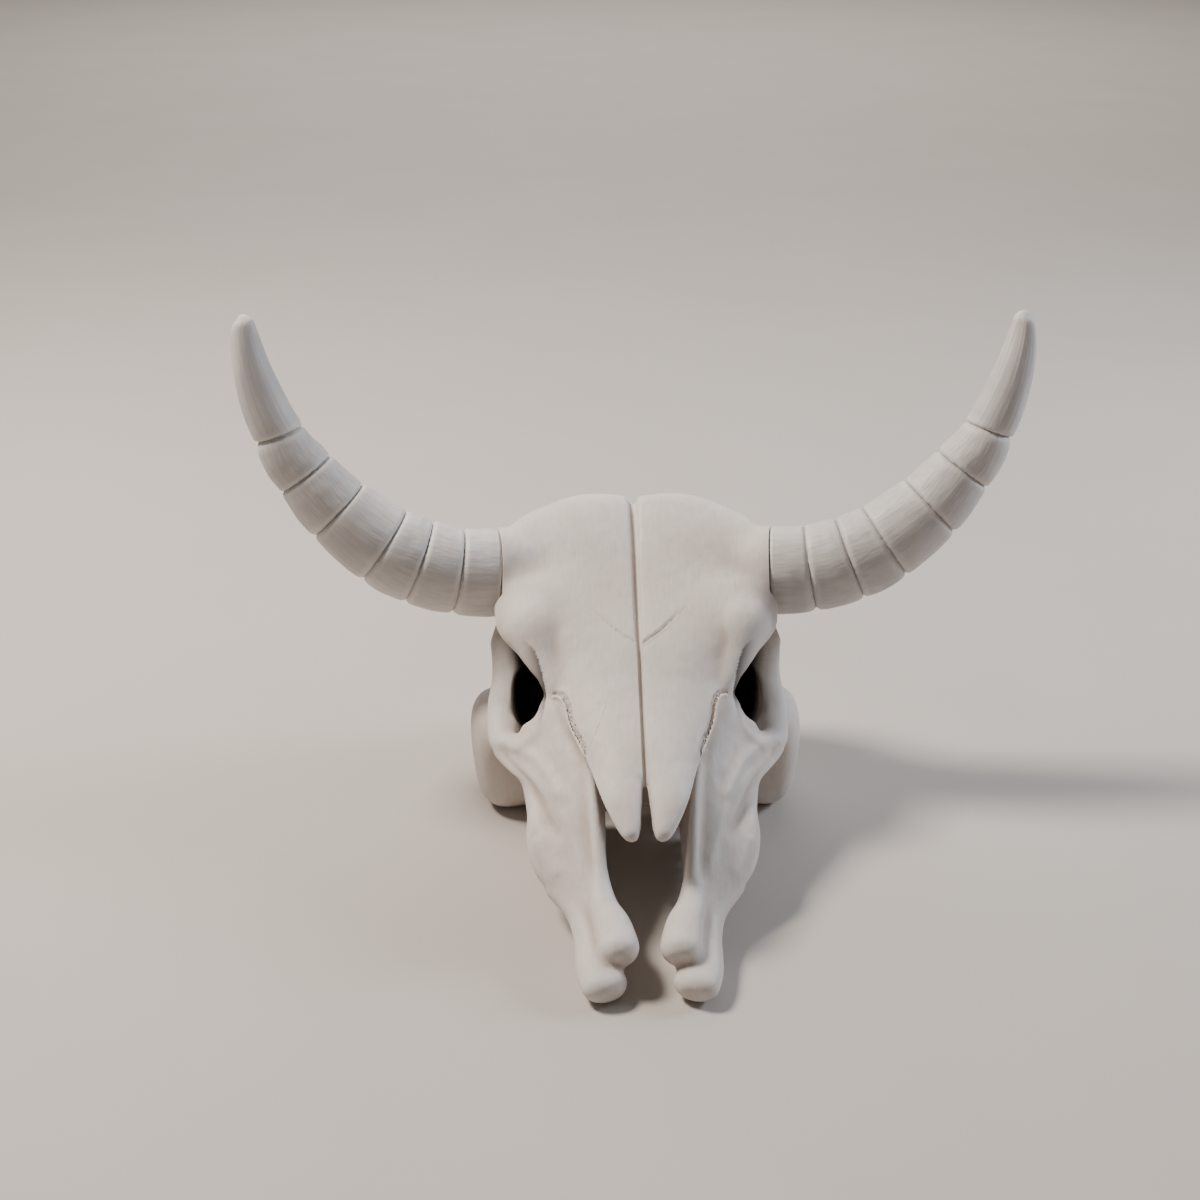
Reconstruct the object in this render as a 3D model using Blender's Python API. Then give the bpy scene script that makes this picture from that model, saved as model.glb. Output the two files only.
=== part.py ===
"""Skull of a horned bull, life size, resting on its jaws, cheeks and nape.

X runs across the skull, Y from the nose back to the crown, Z up from the ground.
The animal's own left is +X. Shapes are written for the left side and mirrored.
Lengths are in metres. While modelling, Y counts from the tips of the upper jaw.
"""

import math

import bmesh
import bpy
from mathutils import Matrix, Vector

# Driving dimensions.
FINE = 0.0025
SOFT_ROUNDS = 16
CRISP_ROUNDS = 3
EASE_ROUNDS = 45
HOLLOW_ROUNDS = 2
SKULL_TRIANGLES = 8600
SEAM = 0.0003
GROOVE_DEPTH = 0.0070
GROOVE_FOOT = 0.40
GROOVE_REACH = 0.0120
HORN_SIDES = 26
HORN_STEPS = 8
RING_EDGE = 0.0022
RING_SWELL = 0.0008
TIP_BOW = 0.0052
TIP_SWELL = 0.0014

# Landmarks on the left side of the skull.
HORN_ROOT = Vector((0.1259, 0.3600, 0.2007))
POSTORBITAL = Vector((0.1190, 0.3200, 0.1500))
ORBIT_SIDE = Vector((0.1195, 0.2780, 0.1080))
ORBIT_CORNER = Vector((0.1170, 0.2400, 0.0910))
ORBIT_FLOOR = Vector((0.0990, 0.2190, 0.1000))
ORBIT_FRONT = Vector((0.0780, 0.2310, 0.1290))

# The middle of the roof of the skull, (y, z), nose to nape.
MIDLINE = (
    (0.050, 0.0830), (0.075, 0.0965), (0.090, 0.1060), (0.110, 0.1175), (0.150, 0.1365),
    (0.185, 0.1505), (0.215, 0.1635), (0.245, 0.1790), (0.270, 0.1890), (0.300, 0.2010),
    (0.330, 0.2160), (0.360, 0.2315), (0.385, 0.2445), (0.400, 0.2500), (0.415, 0.2500),
    (0.428, 0.2440), (0.445, 0.2280), (0.462, 0.2120),
)

# Half width of the groove along that line, (y, metres).
GROOVE_WIDTHS = (
    (0.050, 0.0024), (0.240, 0.0026), (0.262, 0.0036), (0.350, 0.0040), (0.400, 0.0048),
    (0.462, 0.0050),
)

# Cheek teeth on the left, front to back: (x, y, half length).
TEETH = (
    (0.0520, 0.137, 0.0070), (0.0560, 0.152, 0.0076), (0.0590, 0.168, 0.0080),
    (0.0615, 0.185, 0.0088), (0.0630, 0.204, 0.0096), (0.0630, 0.223, 0.0092),
)

# Seams between the bones. Plan lines are (x, y).
FRONT_SEAM = ((0.0, 0.249), (0.030, 0.274), (0.076, 0.229), (0.150, 0.236))
NASAL_SEAM = (
    (0.0760, 0.2290), (0.0660, 0.2172), (0.0600, 0.1955), (0.0530, 0.1756), (0.0485, 0.1560),
    (0.0470, 0.1380),
)
NASAL_DEPTH = 0.0240
ROOF_SEAM_HEIGHT = 0.1430
ROOF_SEAM_SLOPE = 0.20
TEMPLE_SEAM_X = 0.0775
JAW_TIP_SEAM_Y = 0.0920

# The horn's middle line and radius at each ring cut, root to tip.
HORN_STOPS = (
    (0.1259, 0.3600, 0.2007, 0.0399),
    (0.1607, 0.3548, 0.2049, 0.0391),
    (0.1955, 0.3527, 0.2158, 0.0387),
    (0.2260, 0.3531, 0.2321, 0.0370),
    (0.2653, 0.3572, 0.2643, 0.0324),
    (0.2923, 0.3617, 0.2977, 0.0275),
    (0.3137, 0.3661, 0.3333, 0.0223),
    (0.3400, 0.3840, 0.4330, 0.0085),
)

# Each bone by a place on its surface.
BONES = tuple(
    (f"{bone}_{word}", (x * side, y, z))
    for bone, x, y, z in (
        ("frontal", 0.060, 0.330, 0.2200), ("nasal", 0.020, 0.150, 0.1370),
        ("maxilla", 0.095, 0.135, 0.0590), ("premaxilla", 0.036, 0.010, 0.0330),
        ("zygomatic", 0.149, 0.310, 0.0500))
    for word, side in (("left", 1), ("right", -1))) + (("braincase", (0.0, 0.450, 0.1300)),)

BAR_SIDES = 20
CAP_ANGLES = (30.0, 60.0)

BONE_TINT = (0.60, 0.545, 0.50, 1.0)
HORN_TINT = (0.55, 0.52, 0.50, 1.0)


def curve_through(stops, steps):
    """Points of a smooth curve through stops, each a tuple of numbers."""
    out = []
    last = len(stops) - 1
    for i in range(last):
        a = stops[max(i - 1, 0)]
        b = stops[i]
        c = stops[i + 1]
        d = stops[min(i + 2, last)]
        for k in range(steps):
            t = k / steps
            out.append(tuple(
                0.5 * (2 * q + (r - p) * t + (2 * p - 5 * q + 4 * r - s) * t * t
                       + (3 * q - p - 3 * r + s) * t ** 3)
                for p, q, r, s in zip(a, b, c, d)))
    out.append(tuple(stops[-1]))
    return out


def skin_rings(bm, rings):
    """Joins rings of points into one closed body with filled ends."""
    made = [[bm.verts.new(p) for p in ring] for ring in rings]
    count = len(made[0])
    for low, high in zip(made, made[1:]):
        for i in range(count):
            j = (i + 1) % count
            bm.faces.new((low[i], low[j], high[j], high[i]))
    bm.faces.new(list(reversed(made[0])))
    bm.faces.new(made[-1])


def ring_points(centre, side, up, wide, high, count):
    return [centre + side * wide * math.cos(2 * math.pi * k / count)
            + up * high * math.sin(2 * math.pi * k / count) for k in range(count)]


def bar(bm, stops, steps=5):
    """A round-ended bar of oval section. A stop is (place, half width, half height)."""
    line = curve_through([(*place, wide, high) for place, wide, high in stops], steps)
    places = [Vector(p[:3]) for p in line]
    rings = []
    for i, (place, stop) in enumerate(zip(places, line)):
        ahead = places[min(i + 1, len(places) - 1)] - places[max(i - 1, 0)]
        ahead.normalize()
        side = ahead.cross(Vector((0, 0, 1)))
        if side.length < 0.2:
            side = Vector((1, 0, 0))
        side.normalize()
        up = side.cross(ahead)
        wide, high = max(stop[3], 0.001), max(stop[4], 0.001)
        caps = [(0.0, 1.0)]
        if i == 0:
            caps = [(-math.sin(math.radians(a)), math.cos(math.radians(a)))
                    for a in reversed(CAP_ANGLES)] + caps
        if i == len(places) - 1:
            caps += [(math.sin(math.radians(a)), math.cos(math.radians(a)))
                     for a in CAP_ANGLES]
        for shift, scale in caps:
            centre = place + ahead * min(wide, high) * shift
            rings.append(ring_points(centre, side, up, wide * scale, high * scale, BAR_SIDES))
    skin_rings(bm, rings)


def ball(bm, centre, radii, turn=(0, 0, 0), squareness=2.0):
    """An ellipsoid, or with more squareness a rounded block. Turn is in degrees."""
    made = bmesh.ops.create_icosphere(bm, subdivisions=4, radius=1)["verts"]
    matrix = Matrix.Translation(Vector(centre))
    for angle, axis in zip(turn, "XYZ"):
        matrix = matrix @ Matrix.Rotation(math.radians(angle), 4, axis)
    matrix = matrix @ Matrix.Diagonal((*radii, 1))
    for vert in made:
        reach = sum(abs(n) ** squareness for n in vert.co) ** (1 / squareness)
        vert.co = matrix @ (vert.co / reach)


def loft(bm, sections, steps=4, round_steps=3):
    """A closed body through cross sections, each (y, [(x, z), ...]), smooth both ways."""
    flat = [(y, *[n for corner in corners for n in corner]) for y, corners in sections]
    rings = []
    for y, *numbers in curve_through(flat, steps):
        outline = curve_through(list(zip(numbers[::2], numbers[1::2])), round_steps)
        rings.append([Vector((x, y, z)) for x, z in outline])
    skin_rings(bm, rings)


def cranium(bm):
    """Forehead, crown, braincase and the back of the head."""
    loft(bm, [
        (0.215, [(-0.006, 0.1640), (0.030, 0.1625), (0.052, 0.1540), (0.066, 0.1430), (0.068, 0.134),
                 (0.062, 0.120), (0.045, 0.100), (0.030, 0.090), (-0.006, 0.090)]),
        (0.245, [(-0.006, 0.1800), (0.035, 0.1790), (0.060, 0.1715), (0.079, 0.1550), (0.079, 0.144),
                 (0.066, 0.120), (0.050, 0.095), (0.030, 0.080), (-0.006, 0.080)]),
        (0.270, [(-0.006, 0.1900), (0.040, 0.1910), (0.078, 0.1875), (0.099, 0.1680), (0.098, 0.154),
                 (0.066, 0.125), (0.052, 0.095), (0.030, 0.072), (-0.006, 0.070)]),
        (0.300, [(-0.006, 0.2020), (0.045, 0.2045), (0.091, 0.2085), (0.119, 0.1900), (0.123, 0.168),
                 (0.080, 0.138), (0.058, 0.100), (0.035, 0.068), (-0.006, 0.065)]),
        (0.330, [(-0.006, 0.2165), (0.045, 0.2195), (0.088, 0.2165), (0.118, 0.2170), (0.126, 0.190),
                 (0.106, 0.145), (0.080, 0.100), (0.040, 0.068), (-0.006, 0.065)]),
        (0.360, [(-0.006, 0.2320), (0.040, 0.2380), (0.088, 0.2355), (0.1165, 0.2345), (0.128, 0.205),
                 (0.110, 0.155), (0.086, 0.110), (0.045, 0.070), (-0.006, 0.065)]),
        (0.385, [(-0.006, 0.2450), (0.040, 0.2505), (0.084, 0.2465), (0.1110, 0.2385), (0.123, 0.210),
                 (0.110, 0.165), (0.088, 0.120), (0.050, 0.070), (-0.006, 0.065)]),
        (0.408, [(-0.006, 0.2525), (0.040, 0.2575), (0.079, 0.2480), (0.1040, 0.2325), (0.114, 0.200),
                 (0.102, 0.165), (0.080, 0.120), (0.050, 0.075), (-0.006, 0.070)]),
        (0.428, [(-0.006, 0.2440), (0.038, 0.2480), (0.074, 0.2380), (0.094, 0.2150), (0.099, 0.190),
                 (0.088, 0.155), (0.068, 0.115), (0.045, 0.080), (-0.006, 0.078)]),
        (0.442, [(-0.006, 0.2200), (0.030, 0.2230), (0.060, 0.2140), (0.075, 0.1980), (0.080, 0.178),
                 (0.070, 0.150), (0.052, 0.115), (0.035, 0.090), (-0.006, 0.088)]),
    ])
    bar(bm, [
        (Vector((0.060, 0.372, 0.1950)), 0.030, 0.028),
        (Vector((0.095, 0.365, 0.1980)), 0.036, 0.036),
        (HORN_ROOT, 0.0425, 0.0425)])


def brow(bm):
    """The ridge over the eye and the stout process behind it."""
    bar(bm, [
        (Vector((0.0700, 0.238, 0.145)), 0.012, 0.012),
        (Vector((0.0805, 0.262, 0.160)), 0.018, 0.017),
        (Vector((0.0900, 0.290, 0.179)), 0.028, 0.026),
        (Vector((0.0990, 0.313, 0.178)), 0.022, 0.023),
        (Vector((0.1090, 0.334, 0.176)), 0.014, 0.016)])


def postorbital(bm):
    """From the root of the horn down to the bar behind the eye."""
    bar(bm, [
        (Vector((0.1080, 0.350, 0.180)), 0.0150, 0.0180),
        (Vector((0.1130, 0.336, 0.164)), 0.0125, 0.0150),
        (POSTORBITAL, 0.0120, 0.0115)])


def orbit_ring(bm):
    """The bar behind the eye and the lower rim of the socket."""
    bar(bm, [
        (POSTORBITAL, 0.0130, 0.0110),
        (Vector((0.1160, 0.301, 0.128)), 0.0140, 0.0095),
        (ORBIT_SIDE, 0.0145, 0.0095),
        (Vector((0.1190, 0.258, 0.097)), 0.0145, 0.0105),
        (ORBIT_CORNER, 0.0125, 0.0115),
        (ORBIT_FLOOR, 0.0115, 0.0100),
        (Vector((0.0850, 0.216, 0.115)), 0.0105, 0.0095),
        (ORBIT_FRONT, 0.0110, 0.0110)])


def upper_jaw(bm):
    """The side of the face from the eye to the front of the maxilla."""
    loft(bm, [
        (0.255, [(0.020, 0.160), (0.066, 0.142), (0.090, 0.112), (0.096, 0.070), (0.076, 0.034),
                 (0.035, 0.045), (0.026, 0.100)]),
        (0.228, [(0.030, 0.156), (0.076, 0.1425), (0.106, 0.104), (0.101, 0.066), (0.073, 0.029),
                 (0.034, 0.040), (0.029, 0.090)]),
        (0.200, [(0.038, 0.143), (0.071, 0.127), (0.101, 0.094), (0.097, 0.060), (0.072, 0.027),
                 (0.034, 0.037), (0.031, 0.085)]),
        (0.165, [(0.044, 0.124), (0.067, 0.105), (0.095, 0.078), (0.093, 0.050), (0.070, 0.025),
                 (0.036, 0.031), (0.031, 0.075)]),
        (0.135, [(0.041, 0.104), (0.064, 0.086), (0.0965, 0.062), (0.0895, 0.039), (0.066, 0.023),
                 (0.036, 0.027), (0.031, 0.062)]),
        (0.110, [(0.038, 0.083), (0.060, 0.068), (0.0895, 0.047), (0.080, 0.029), (0.060, 0.019),
                 (0.034, 0.021), (0.031, 0.050)]),
        (0.082, [(0.033, 0.062), (0.052, 0.052), (0.0665, 0.037), (0.064, 0.023), (0.054, 0.013),
                 (0.034, 0.014), (0.030, 0.038)]),
        (0.055, [(0.030, 0.044), (0.044, 0.037), (0.051, 0.027), (0.050, 0.018), (0.047, 0.012),
                 (0.034, 0.013), (0.029, 0.028)]),
    ])
    bar(bm, [
        (Vector((0.1190, 0.238, 0.086)), 0.0100, 0.0100),
        (Vector((0.1060, 0.210, 0.087)), 0.0105, 0.0100),
        (Vector((0.0870, 0.178, 0.088)), 0.0105, 0.0095),
        (Vector((0.0720, 0.150, 0.079)), 0.0095, 0.0085),
        (Vector((0.0610, 0.120, 0.060)), 0.0080, 0.0080)])


def jaw_tip(bm):
    """The two fingers of bone on each side of the nose opening and their knobs."""
    bar(bm, [
        (Vector((0.066, 0.105, 0.034)), 0.017, 0.014),
        (Vector((0.0530, 0.078, 0.028)), 0.0130, 0.0135),
        (Vector((0.0455, 0.052, 0.022)), 0.0140, 0.0135),
        (Vector((0.0425, 0.030, 0.0165)), 0.0160, 0.0150),
        (Vector((0.0400, 0.015, 0.0145)), 0.0175, 0.0140),
        (Vector((0.0352, 0.0015, 0.0130)), 0.0188, 0.0132)])
    bar(bm, [
        (Vector((0.045, 0.170, 0.117)), 0.0045, 0.0050),
        (Vector((0.042, 0.135, 0.096)), 0.0050, 0.0055),
        (Vector((0.0395, 0.110, 0.077)), 0.0060, 0.0060),
        (Vector((0.0375, 0.085, 0.055)), 0.0080, 0.0080),
        (Vector((0.0345, 0.062, 0.0425)), 0.0120, 0.0115),
        (Vector((0.0282, 0.043, 0.0375)), 0.0152, 0.0140),
        (Vector((0.0242, 0.0220, 0.0325)), 0.0168, 0.0150)])
    loft(bm, [
        (0.112, [(0.034, 0.080), (0.062, 0.060), (0.066, 0.025), (0.034, 0.030)]),
        (0.080, [(0.033, 0.059), (0.056, 0.046), (0.058, 0.018), (0.033, 0.022)]),
        (0.055, [(0.029, 0.045), (0.048, 0.037), (0.050, 0.014), (0.029, 0.018)]),
        (0.038, [(0.026, 0.036), (0.041, 0.031), (0.042, 0.013), (0.026, 0.017)]),
    ])


def nasal(bm):
    """One long pointed nose bone and its root in the forehead."""
    loft(bm, [
        (0.262, [(-0.004, 0.1860), (0.038, 0.1850), (0.066, 0.1750), (0.078, 0.158),
                 (0.060, 0.140), (-0.004, 0.140)]),
        (0.225, [(-0.004, 0.1690), (0.032, 0.1675), (0.056, 0.1580), (0.073, 0.1445),
                 (0.056, 0.128), (-0.004, 0.140)]),
        (0.185, [(-0.004, 0.1510), (0.024, 0.1505), (0.044, 0.1430), (0.0590, 0.1300),
                 (0.045, 0.122), (-0.004, 0.134)]),
        (0.150, [(-0.001, 0.1370), (0.0190, 0.1375), (0.0350, 0.1320), (0.0465, 0.1200),
                 (0.032, 0.1165), (-0.001, 0.122)]),
        (0.110, [(0.0026, 0.1180), (0.0150, 0.1210), (0.0270, 0.1190), (0.0360, 0.1110),
                 (0.024, 0.1060), (0.0026, 0.1075)]),
        (0.090, [(0.0040, 0.1060), (0.0120, 0.1095), (0.0205, 0.1080), (0.0265, 0.1015),
                 (0.019, 0.094), (0.0046, 0.0945)]),
        (0.0780, [(0.0068, 0.0985), (0.0115, 0.1005), (0.0155, 0.1000), (0.0185, 0.0955),
                  (0.014, 0.0900), (0.0075, 0.0905)]),
    ])


def cheek_wing(bm):
    """The deep flange of the cheek behind the eye, which stands on the ground."""
    ball(bm, (0.1145, 0.308, 0.0495), (0.0355, 0.0470, 0.0515), (0, 5, -4), 3.2)
    bar(bm, [
        (ORBIT_CORNER, 0.010, 0.012),
        (Vector((0.122, 0.275, 0.080)), 0.012, 0.016),
        (Vector((0.122, 0.315, 0.078)), 0.015, 0.022),
        (Vector((0.110, 0.362, 0.088)), 0.015, 0.018),
        (Vector((0.075, 0.392, 0.105)), 0.018, 0.018)])
    ball(bm, (0.092, 0.345, 0.095), (0.036, 0.030, 0.060))
    bar(bm, [
        (Vector((0.1150, 0.330, 0.160)), 0.012, 0.014),
        (Vector((0.1155, 0.328, 0.120)), 0.011, 0.018),
        (Vector((0.1160, 0.318, 0.080)), 0.013, 0.022)])


def skull_base(bm):
    """Underside and back: condyles, jugular processes and the floor of the braincase."""
    ball(bm, (0.024, 0.441, 0.085), (0.019, 0.020, 0.026))
    bar(bm, [
        (Vector((0.064, 0.405, 0.105)), 0.018, 0.018),
        (Vector((0.062, 0.408, 0.055)), 0.013, 0.016),
        (Vector((0.058, 0.404, 0.009)), 0.012, 0.014)])
    bar(bm, [
        (Vector((0, 0.430, 0.082)), 0.022, 0.014),
        (Vector((0, 0.360, 0.070)), 0.024, 0.014),
        (Vector((0, 0.300, 0.080)), 0.018, 0.014)])


def palate(bm):
    """Roof of the mouth behind the nose opening, with six cheek teeth beside it."""
    loft(bm, [
        (0.198, [(-0.006, 0.100), (0.040, 0.100), (0.040, 0.048), (-0.006, 0.052)]),
        (0.225, [(-0.006, 0.120), (0.050, 0.120), (0.050, 0.046), (-0.006, 0.050)]),
        (0.275, [(-0.006, 0.110), (0.040, 0.110), (0.044, 0.050), (-0.006, 0.054)]),
    ])
    for x, y, long in TEETH:
        ball(bm, (x, y, 0.0350), (0.0100, long, 0.0230), (0, 0, -6), 3.5)


def hollows(bm):
    """Spaces carved on each side: the deep eye socket and the temple."""
    ball(bm, (0.0945, 0.2920, 0.1090), (0.0170, 0.0760, 0.0300), (-25, 0, 0), 2.3)
    ball(bm, (0.0945, 0.2650, 0.1260), (0.0180, 0.0330, 0.0290), (35, 0, -8), 2.2)
    ball(bm, (0.1050, 0.2540, 0.1270), (0.0150, 0.0200, 0.0250), (35, 0, -20))
    ball(bm, (0.1370, 0.3920, 0.1330), (0.0330, 0.0450, 0.0260), (8, -10, 0))


def horn_place(along):
    """Centre, heading and radius of the horn at a distance counted in ring cuts."""
    line = curve_through(HORN_STOPS, HORN_STEPS)
    last = len(line) - 1
    k = min(int(along * HORN_STEPS), last - 1)
    f = along * HORN_STEPS - k
    places = [Vector(p[:3]) for p in line]
    heading = [(places[min(i + 1, last)] - places[max(i - 1, 0)]).normalized() for i in (k, k + 1)]
    bow = math.sin(math.pi * max(0.0, along - (len(HORN_STOPS) - 2)))
    return (places[k].lerp(places[k + 1], f) + Vector((TIP_BOW * bow, 0, 0)),
            heading[0].lerp(heading[1], f).normalized(),
            line[k][3] + (line[k + 1][3] - line[k][3]) * f + TIP_SWELL * bow)


def horn_seat(bm):
    """The flat face that the horn's first ring stands against."""
    centre, ahead, radius = horn_place(0)
    spin = Vector((0, 0, 1)).rotation_difference(ahead).to_matrix().to_4x4()
    bmesh.ops.create_cone(
        bm, segments=48, radius1=radius + 0.009, radius2=radius + 0.009, depth=0.040, cap_ends=True,
        matrix=Matrix.Translation(centre + ahead * (0.020 - SEAM / 2)) @ spin)


def groove(bm):
    """The furrow along the middle of the roof, wider towards the crown."""
    rings = []
    for i, (y, z) in enumerate(MIDLINE):
        before = Vector(MIDLINE[max(i - 1, 0)])
        after = Vector(MIDLINE[min(i + 1, len(MIDLINE) - 1)])
        run = (after - before).normalized()
        out = Vector((0, -run.y, run.x))
        foot = Vector((0, y, z)) - out * GROOVE_DEPTH
        top = foot + out * (GROOVE_DEPTH + GROOVE_REACH)
        wide = between(GROOVE_WIDTHS, y)
        flat = wide * GROOVE_FOOT
        open_wide = wide + (wide - flat) * GROOVE_REACH / GROOVE_DEPTH
        rings.append([foot - Vector((flat, 0, 0)), foot + Vector((flat, 0, 0)),
                      top + Vector((open_wide, 0, 0)), top - Vector((open_wide, 0, 0))])
    skin_rings(bm, rings)


def ground(bm):
    """Everything below the ground, so that the feet end in small flats."""
    bmesh.ops.create_cube(
        bm, size=1, matrix=Matrix.Translation((0, 0.2, -0.05)) @ Matrix.Diagonal((1, 1, 0.1, 1)))


def sheet(bm, edges, across):
    """A thin wall. Each edge is its two ends, and across is its thickness."""
    rings = []
    for one, two in edges:
        a, b, half = Vector(one), Vector(two), Vector(across) / 2
        rings.append([a - half, b - half, b + half, a + half])
    skin_rings(bm, rings)


def between(table, at):
    """Reads a table of (place, value) pairs at a place, straight between its lines."""
    for (a, low), (b, high) in zip(table, table[1:]):
        if a <= at <= b:
            return low + (high - low) * (at - a) / (b - a)
    return table[0][1] if at < table[0][0] else table[-1][1]


def roof_seam(y):
    return ROOF_SEAM_HEIGHT + ROOF_SEAM_SLOPE * (y - 0.32)


def nasal_floor(y):
    """Height of the seam under the nose bones, which runs along with the roof."""
    return between(MIDLINE, y) - NASAL_DEPTH


def front_seam(bm):
    """Between the face and everything behind it."""
    line = [(-x, y) for x, y in reversed(FRONT_SEAM[1:])] + list(FRONT_SEAM)
    sheet(bm, [((x, y, -0.02), (x, y, 0.30)) for x, y in line], (0, SEAM * 1.2, 0))


def roof_seams(bm):
    """Between the forehead and the braincase."""
    line = [(-x, y) for x, y in reversed(FRONT_SEAM[1:])] + list(FRONT_SEAM)
    sheet(bm, [((x, y, roof_seam(y)), (x, 0.48, roof_seam(0.48))) for x, y in line], (0, 0, SEAM))


def middle_seam_front(bm):
    y = FRONT_SEAM[0][1]
    sheet(bm, [((0, -0.05, -0.02), (0, y, -0.02)), ((0, -0.05, 0.30), (0, y, 0.30))], (SEAM, 0, 0))


def middle_seam_back(bm):
    y = FRONT_SEAM[0][1]
    sheet(bm, [((0, y, roof_seam(y)), (0, 0.48, roof_seam(0.48))), ((0, y, 0.30), (0, 0.48, 0.30))],
          (SEAM, 0, 0))


def nasal_side_seam(bm):
    sheet(bm, [((x, y, nasal_floor(y)), (x, y, 0.30)) for x, y in NASAL_SEAM], (SEAM * 1.1, 0, 0))


def nasal_floor_seam(bm):
    line = [(x, y) for x, y in NASAL_SEAM] + [(0.0470, 0.120)]
    rear, corner, side = FRONT_SEAM[:3]
    rear_x = corner[0] + (side[0] - corner[0]) * (corner[1] - rear[1]) / (corner[1] - side[1])
    edges = [((0, y, nasal_floor(y)), (x, y, nasal_floor(y))) for x, y in reversed(line)]
    edges.append(((0, rear[1], nasal_floor(rear[1])), (rear_x, rear[1], nasal_floor(rear[1]))))
    edges.append(((corner[0] - 0.001, corner[1], nasal_floor(corner[1])),
                  (corner[0] + 0.001, corner[1], nasal_floor(corner[1]))))
    sheet(bm, edges, (0, 0, SEAM))


def temple_seam(bm):
    x = TEMPLE_SEAM_X
    y = FRONT_SEAM[2][1]
    sheet(bm, [((x, y, -0.02), (x, 0.48, -0.02)), ((x, y, roof_seam(y)), (x, 0.48, roof_seam(0.48)))],
          (SEAM, 0, 0))


def jaw_tip_seam(bm):
    y = JAW_TIP_SEAM_Y
    sheet(bm, [((0.005, y + 0.006, -0.02), (0.120, y + 0.006, -0.02)),
               ((0.005, y - 0.004, 0.087), (0.120, y - 0.004, 0.087))], (0, SEAM, 0))


def object_from(bm, name):
    mesh = bpy.data.meshes.new(name)
    bmesh.ops.recalc_face_normals(bm, faces=bm.faces)
    bm.to_mesh(mesh)
    bm.free()
    obj = bpy.data.objects.new(name, mesh)
    bpy.context.scene.collection.objects.link(obj)
    return obj


def settle(obj):
    """Bakes an object's modifiers into its mesh."""
    graph = bpy.context.evaluated_depsgraph_get()
    mesh = bpy.data.meshes.new_from_object(obj.evaluated_get(graph))
    obj.modifiers.clear()
    obj.data = mesh
    return obj


def remesh(obj, size, rounds):
    modifier = obj.modifiers.new("fuse", "REMESH")
    modifier.mode = "VOXEL"
    modifier.voxel_size = size
    modifier = obj.modifiers.new("soften", "SMOOTH")
    modifier.factor = 0.5
    modifier.iterations = rounds
    return settle(obj)


def eased(obj, rounds):
    """Softens the forehead further, so that its swellings run into each other."""
    group = obj.vertex_groups.new(name="forehead")
    for vert in obj.data.vertices:
        front = (vert.co.y - 0.262) / 0.025
        low = (vert.co.z - 0.172) / 0.018
        back = 1 - 0.7 * max(0.0, min(1.0, (vert.co.y - 0.375) / 0.025))
        share = max(0.0, min(1.0, front)) * max(0.0, min(1.0, low)) * back
        if share > 0:
            group.add([vert.index], share, "REPLACE")
    modifier = obj.modifiers.new("ease", "SMOOTH")
    modifier.factor = 0.5
    modifier.iterations = rounds
    modifier.vertex_group = group.name
    settle(obj)
    obj.vertex_groups.clear()
    return obj


def fused(pieces, size, rounds):
    """Both sides of the given pieces as one closed body."""
    bm = bmesh.new()
    for piece in pieces:
        piece(bm)
    body = object_from(bm, "skull")
    mirror = body.modifiers.new("mirror", "MIRROR")
    mirror.use_mirror_merge = False
    return remesh(body, size, rounds)


def subtract(obj, tool, solver="MANIFOLD"):
    modifier = obj.modifiers.new("cut", "BOOLEAN")
    modifier.operation = "DIFFERENCE"
    modifier.solver = solver
    modifier.object = tool
    settle(obj)
    bpy.data.objects.remove(tool)
    return obj


def shaped(piece, side=1):
    """A cutting body made by piece, on one side."""
    bm = bmesh.new()
    piece(bm)
    bmesh.ops.scale(bm, vec=(side, 1, 1), verts=bm.verts)
    return object_from(bm, piece.__name__)


def thinned(obj, triangles):
    """The same shape with about as many triangles as wanted."""
    bm = bmesh.new()
    bm.from_mesh(obj.data)
    bmesh.ops.triangulate(bm, faces=bm.faces)
    have = len(bm.faces)
    bm.to_mesh(obj.data)
    bm.free()
    modifier = obj.modifiers.new("thin", "DECIMATE")
    modifier.ratio = triangles / have
    modifier.use_symmetry = True
    return settle(obj)


def whole_skull():
    soft = eased(fused((cranium, brow, upper_jaw), FINE, SOFT_ROUNDS), EASE_ROUNDS)
    crisp = fused((nasal, postorbital, orbit_ring, jaw_tip, cheek_wing, skull_base, palate),
                  FINE, CRISP_ROUNDS)
    bm = bmesh.new()
    for body in (soft, crisp):
        bm.from_mesh(body.data)
        bpy.data.objects.remove(body)
    skull = remesh(object_from(bm, "skull"), FINE, CRISP_ROUNDS)
    subtract(skull, fused((hollows,), FINE, HOLLOW_ROUNDS))
    skull = thinned(remesh(skull, FINE, CRISP_ROUNDS), SKULL_TRIANGLES)
    for side in (1, -1):
        subtract(skull, shaped(horn_seat, side))
    subtract(skull, shaped(groove))
    return subtract(skull, shaped(ground))


def parts_of(bm):
    """The separate closed bodies of a mesh, as lists of faces, largest first."""
    left = set(bm.faces)
    bodies = []
    while left:
        body = {left.pop()}
        edge = list(body)
        while edge:
            face = edge.pop()
            for side in face.edges:
                for other in side.link_faces:
                    if other in left:
                        left.remove(other)
                        body.add(other)
                        edge.append(other)
        bodies.append(body)
    return sorted(bodies, key=len, reverse=True)


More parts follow.
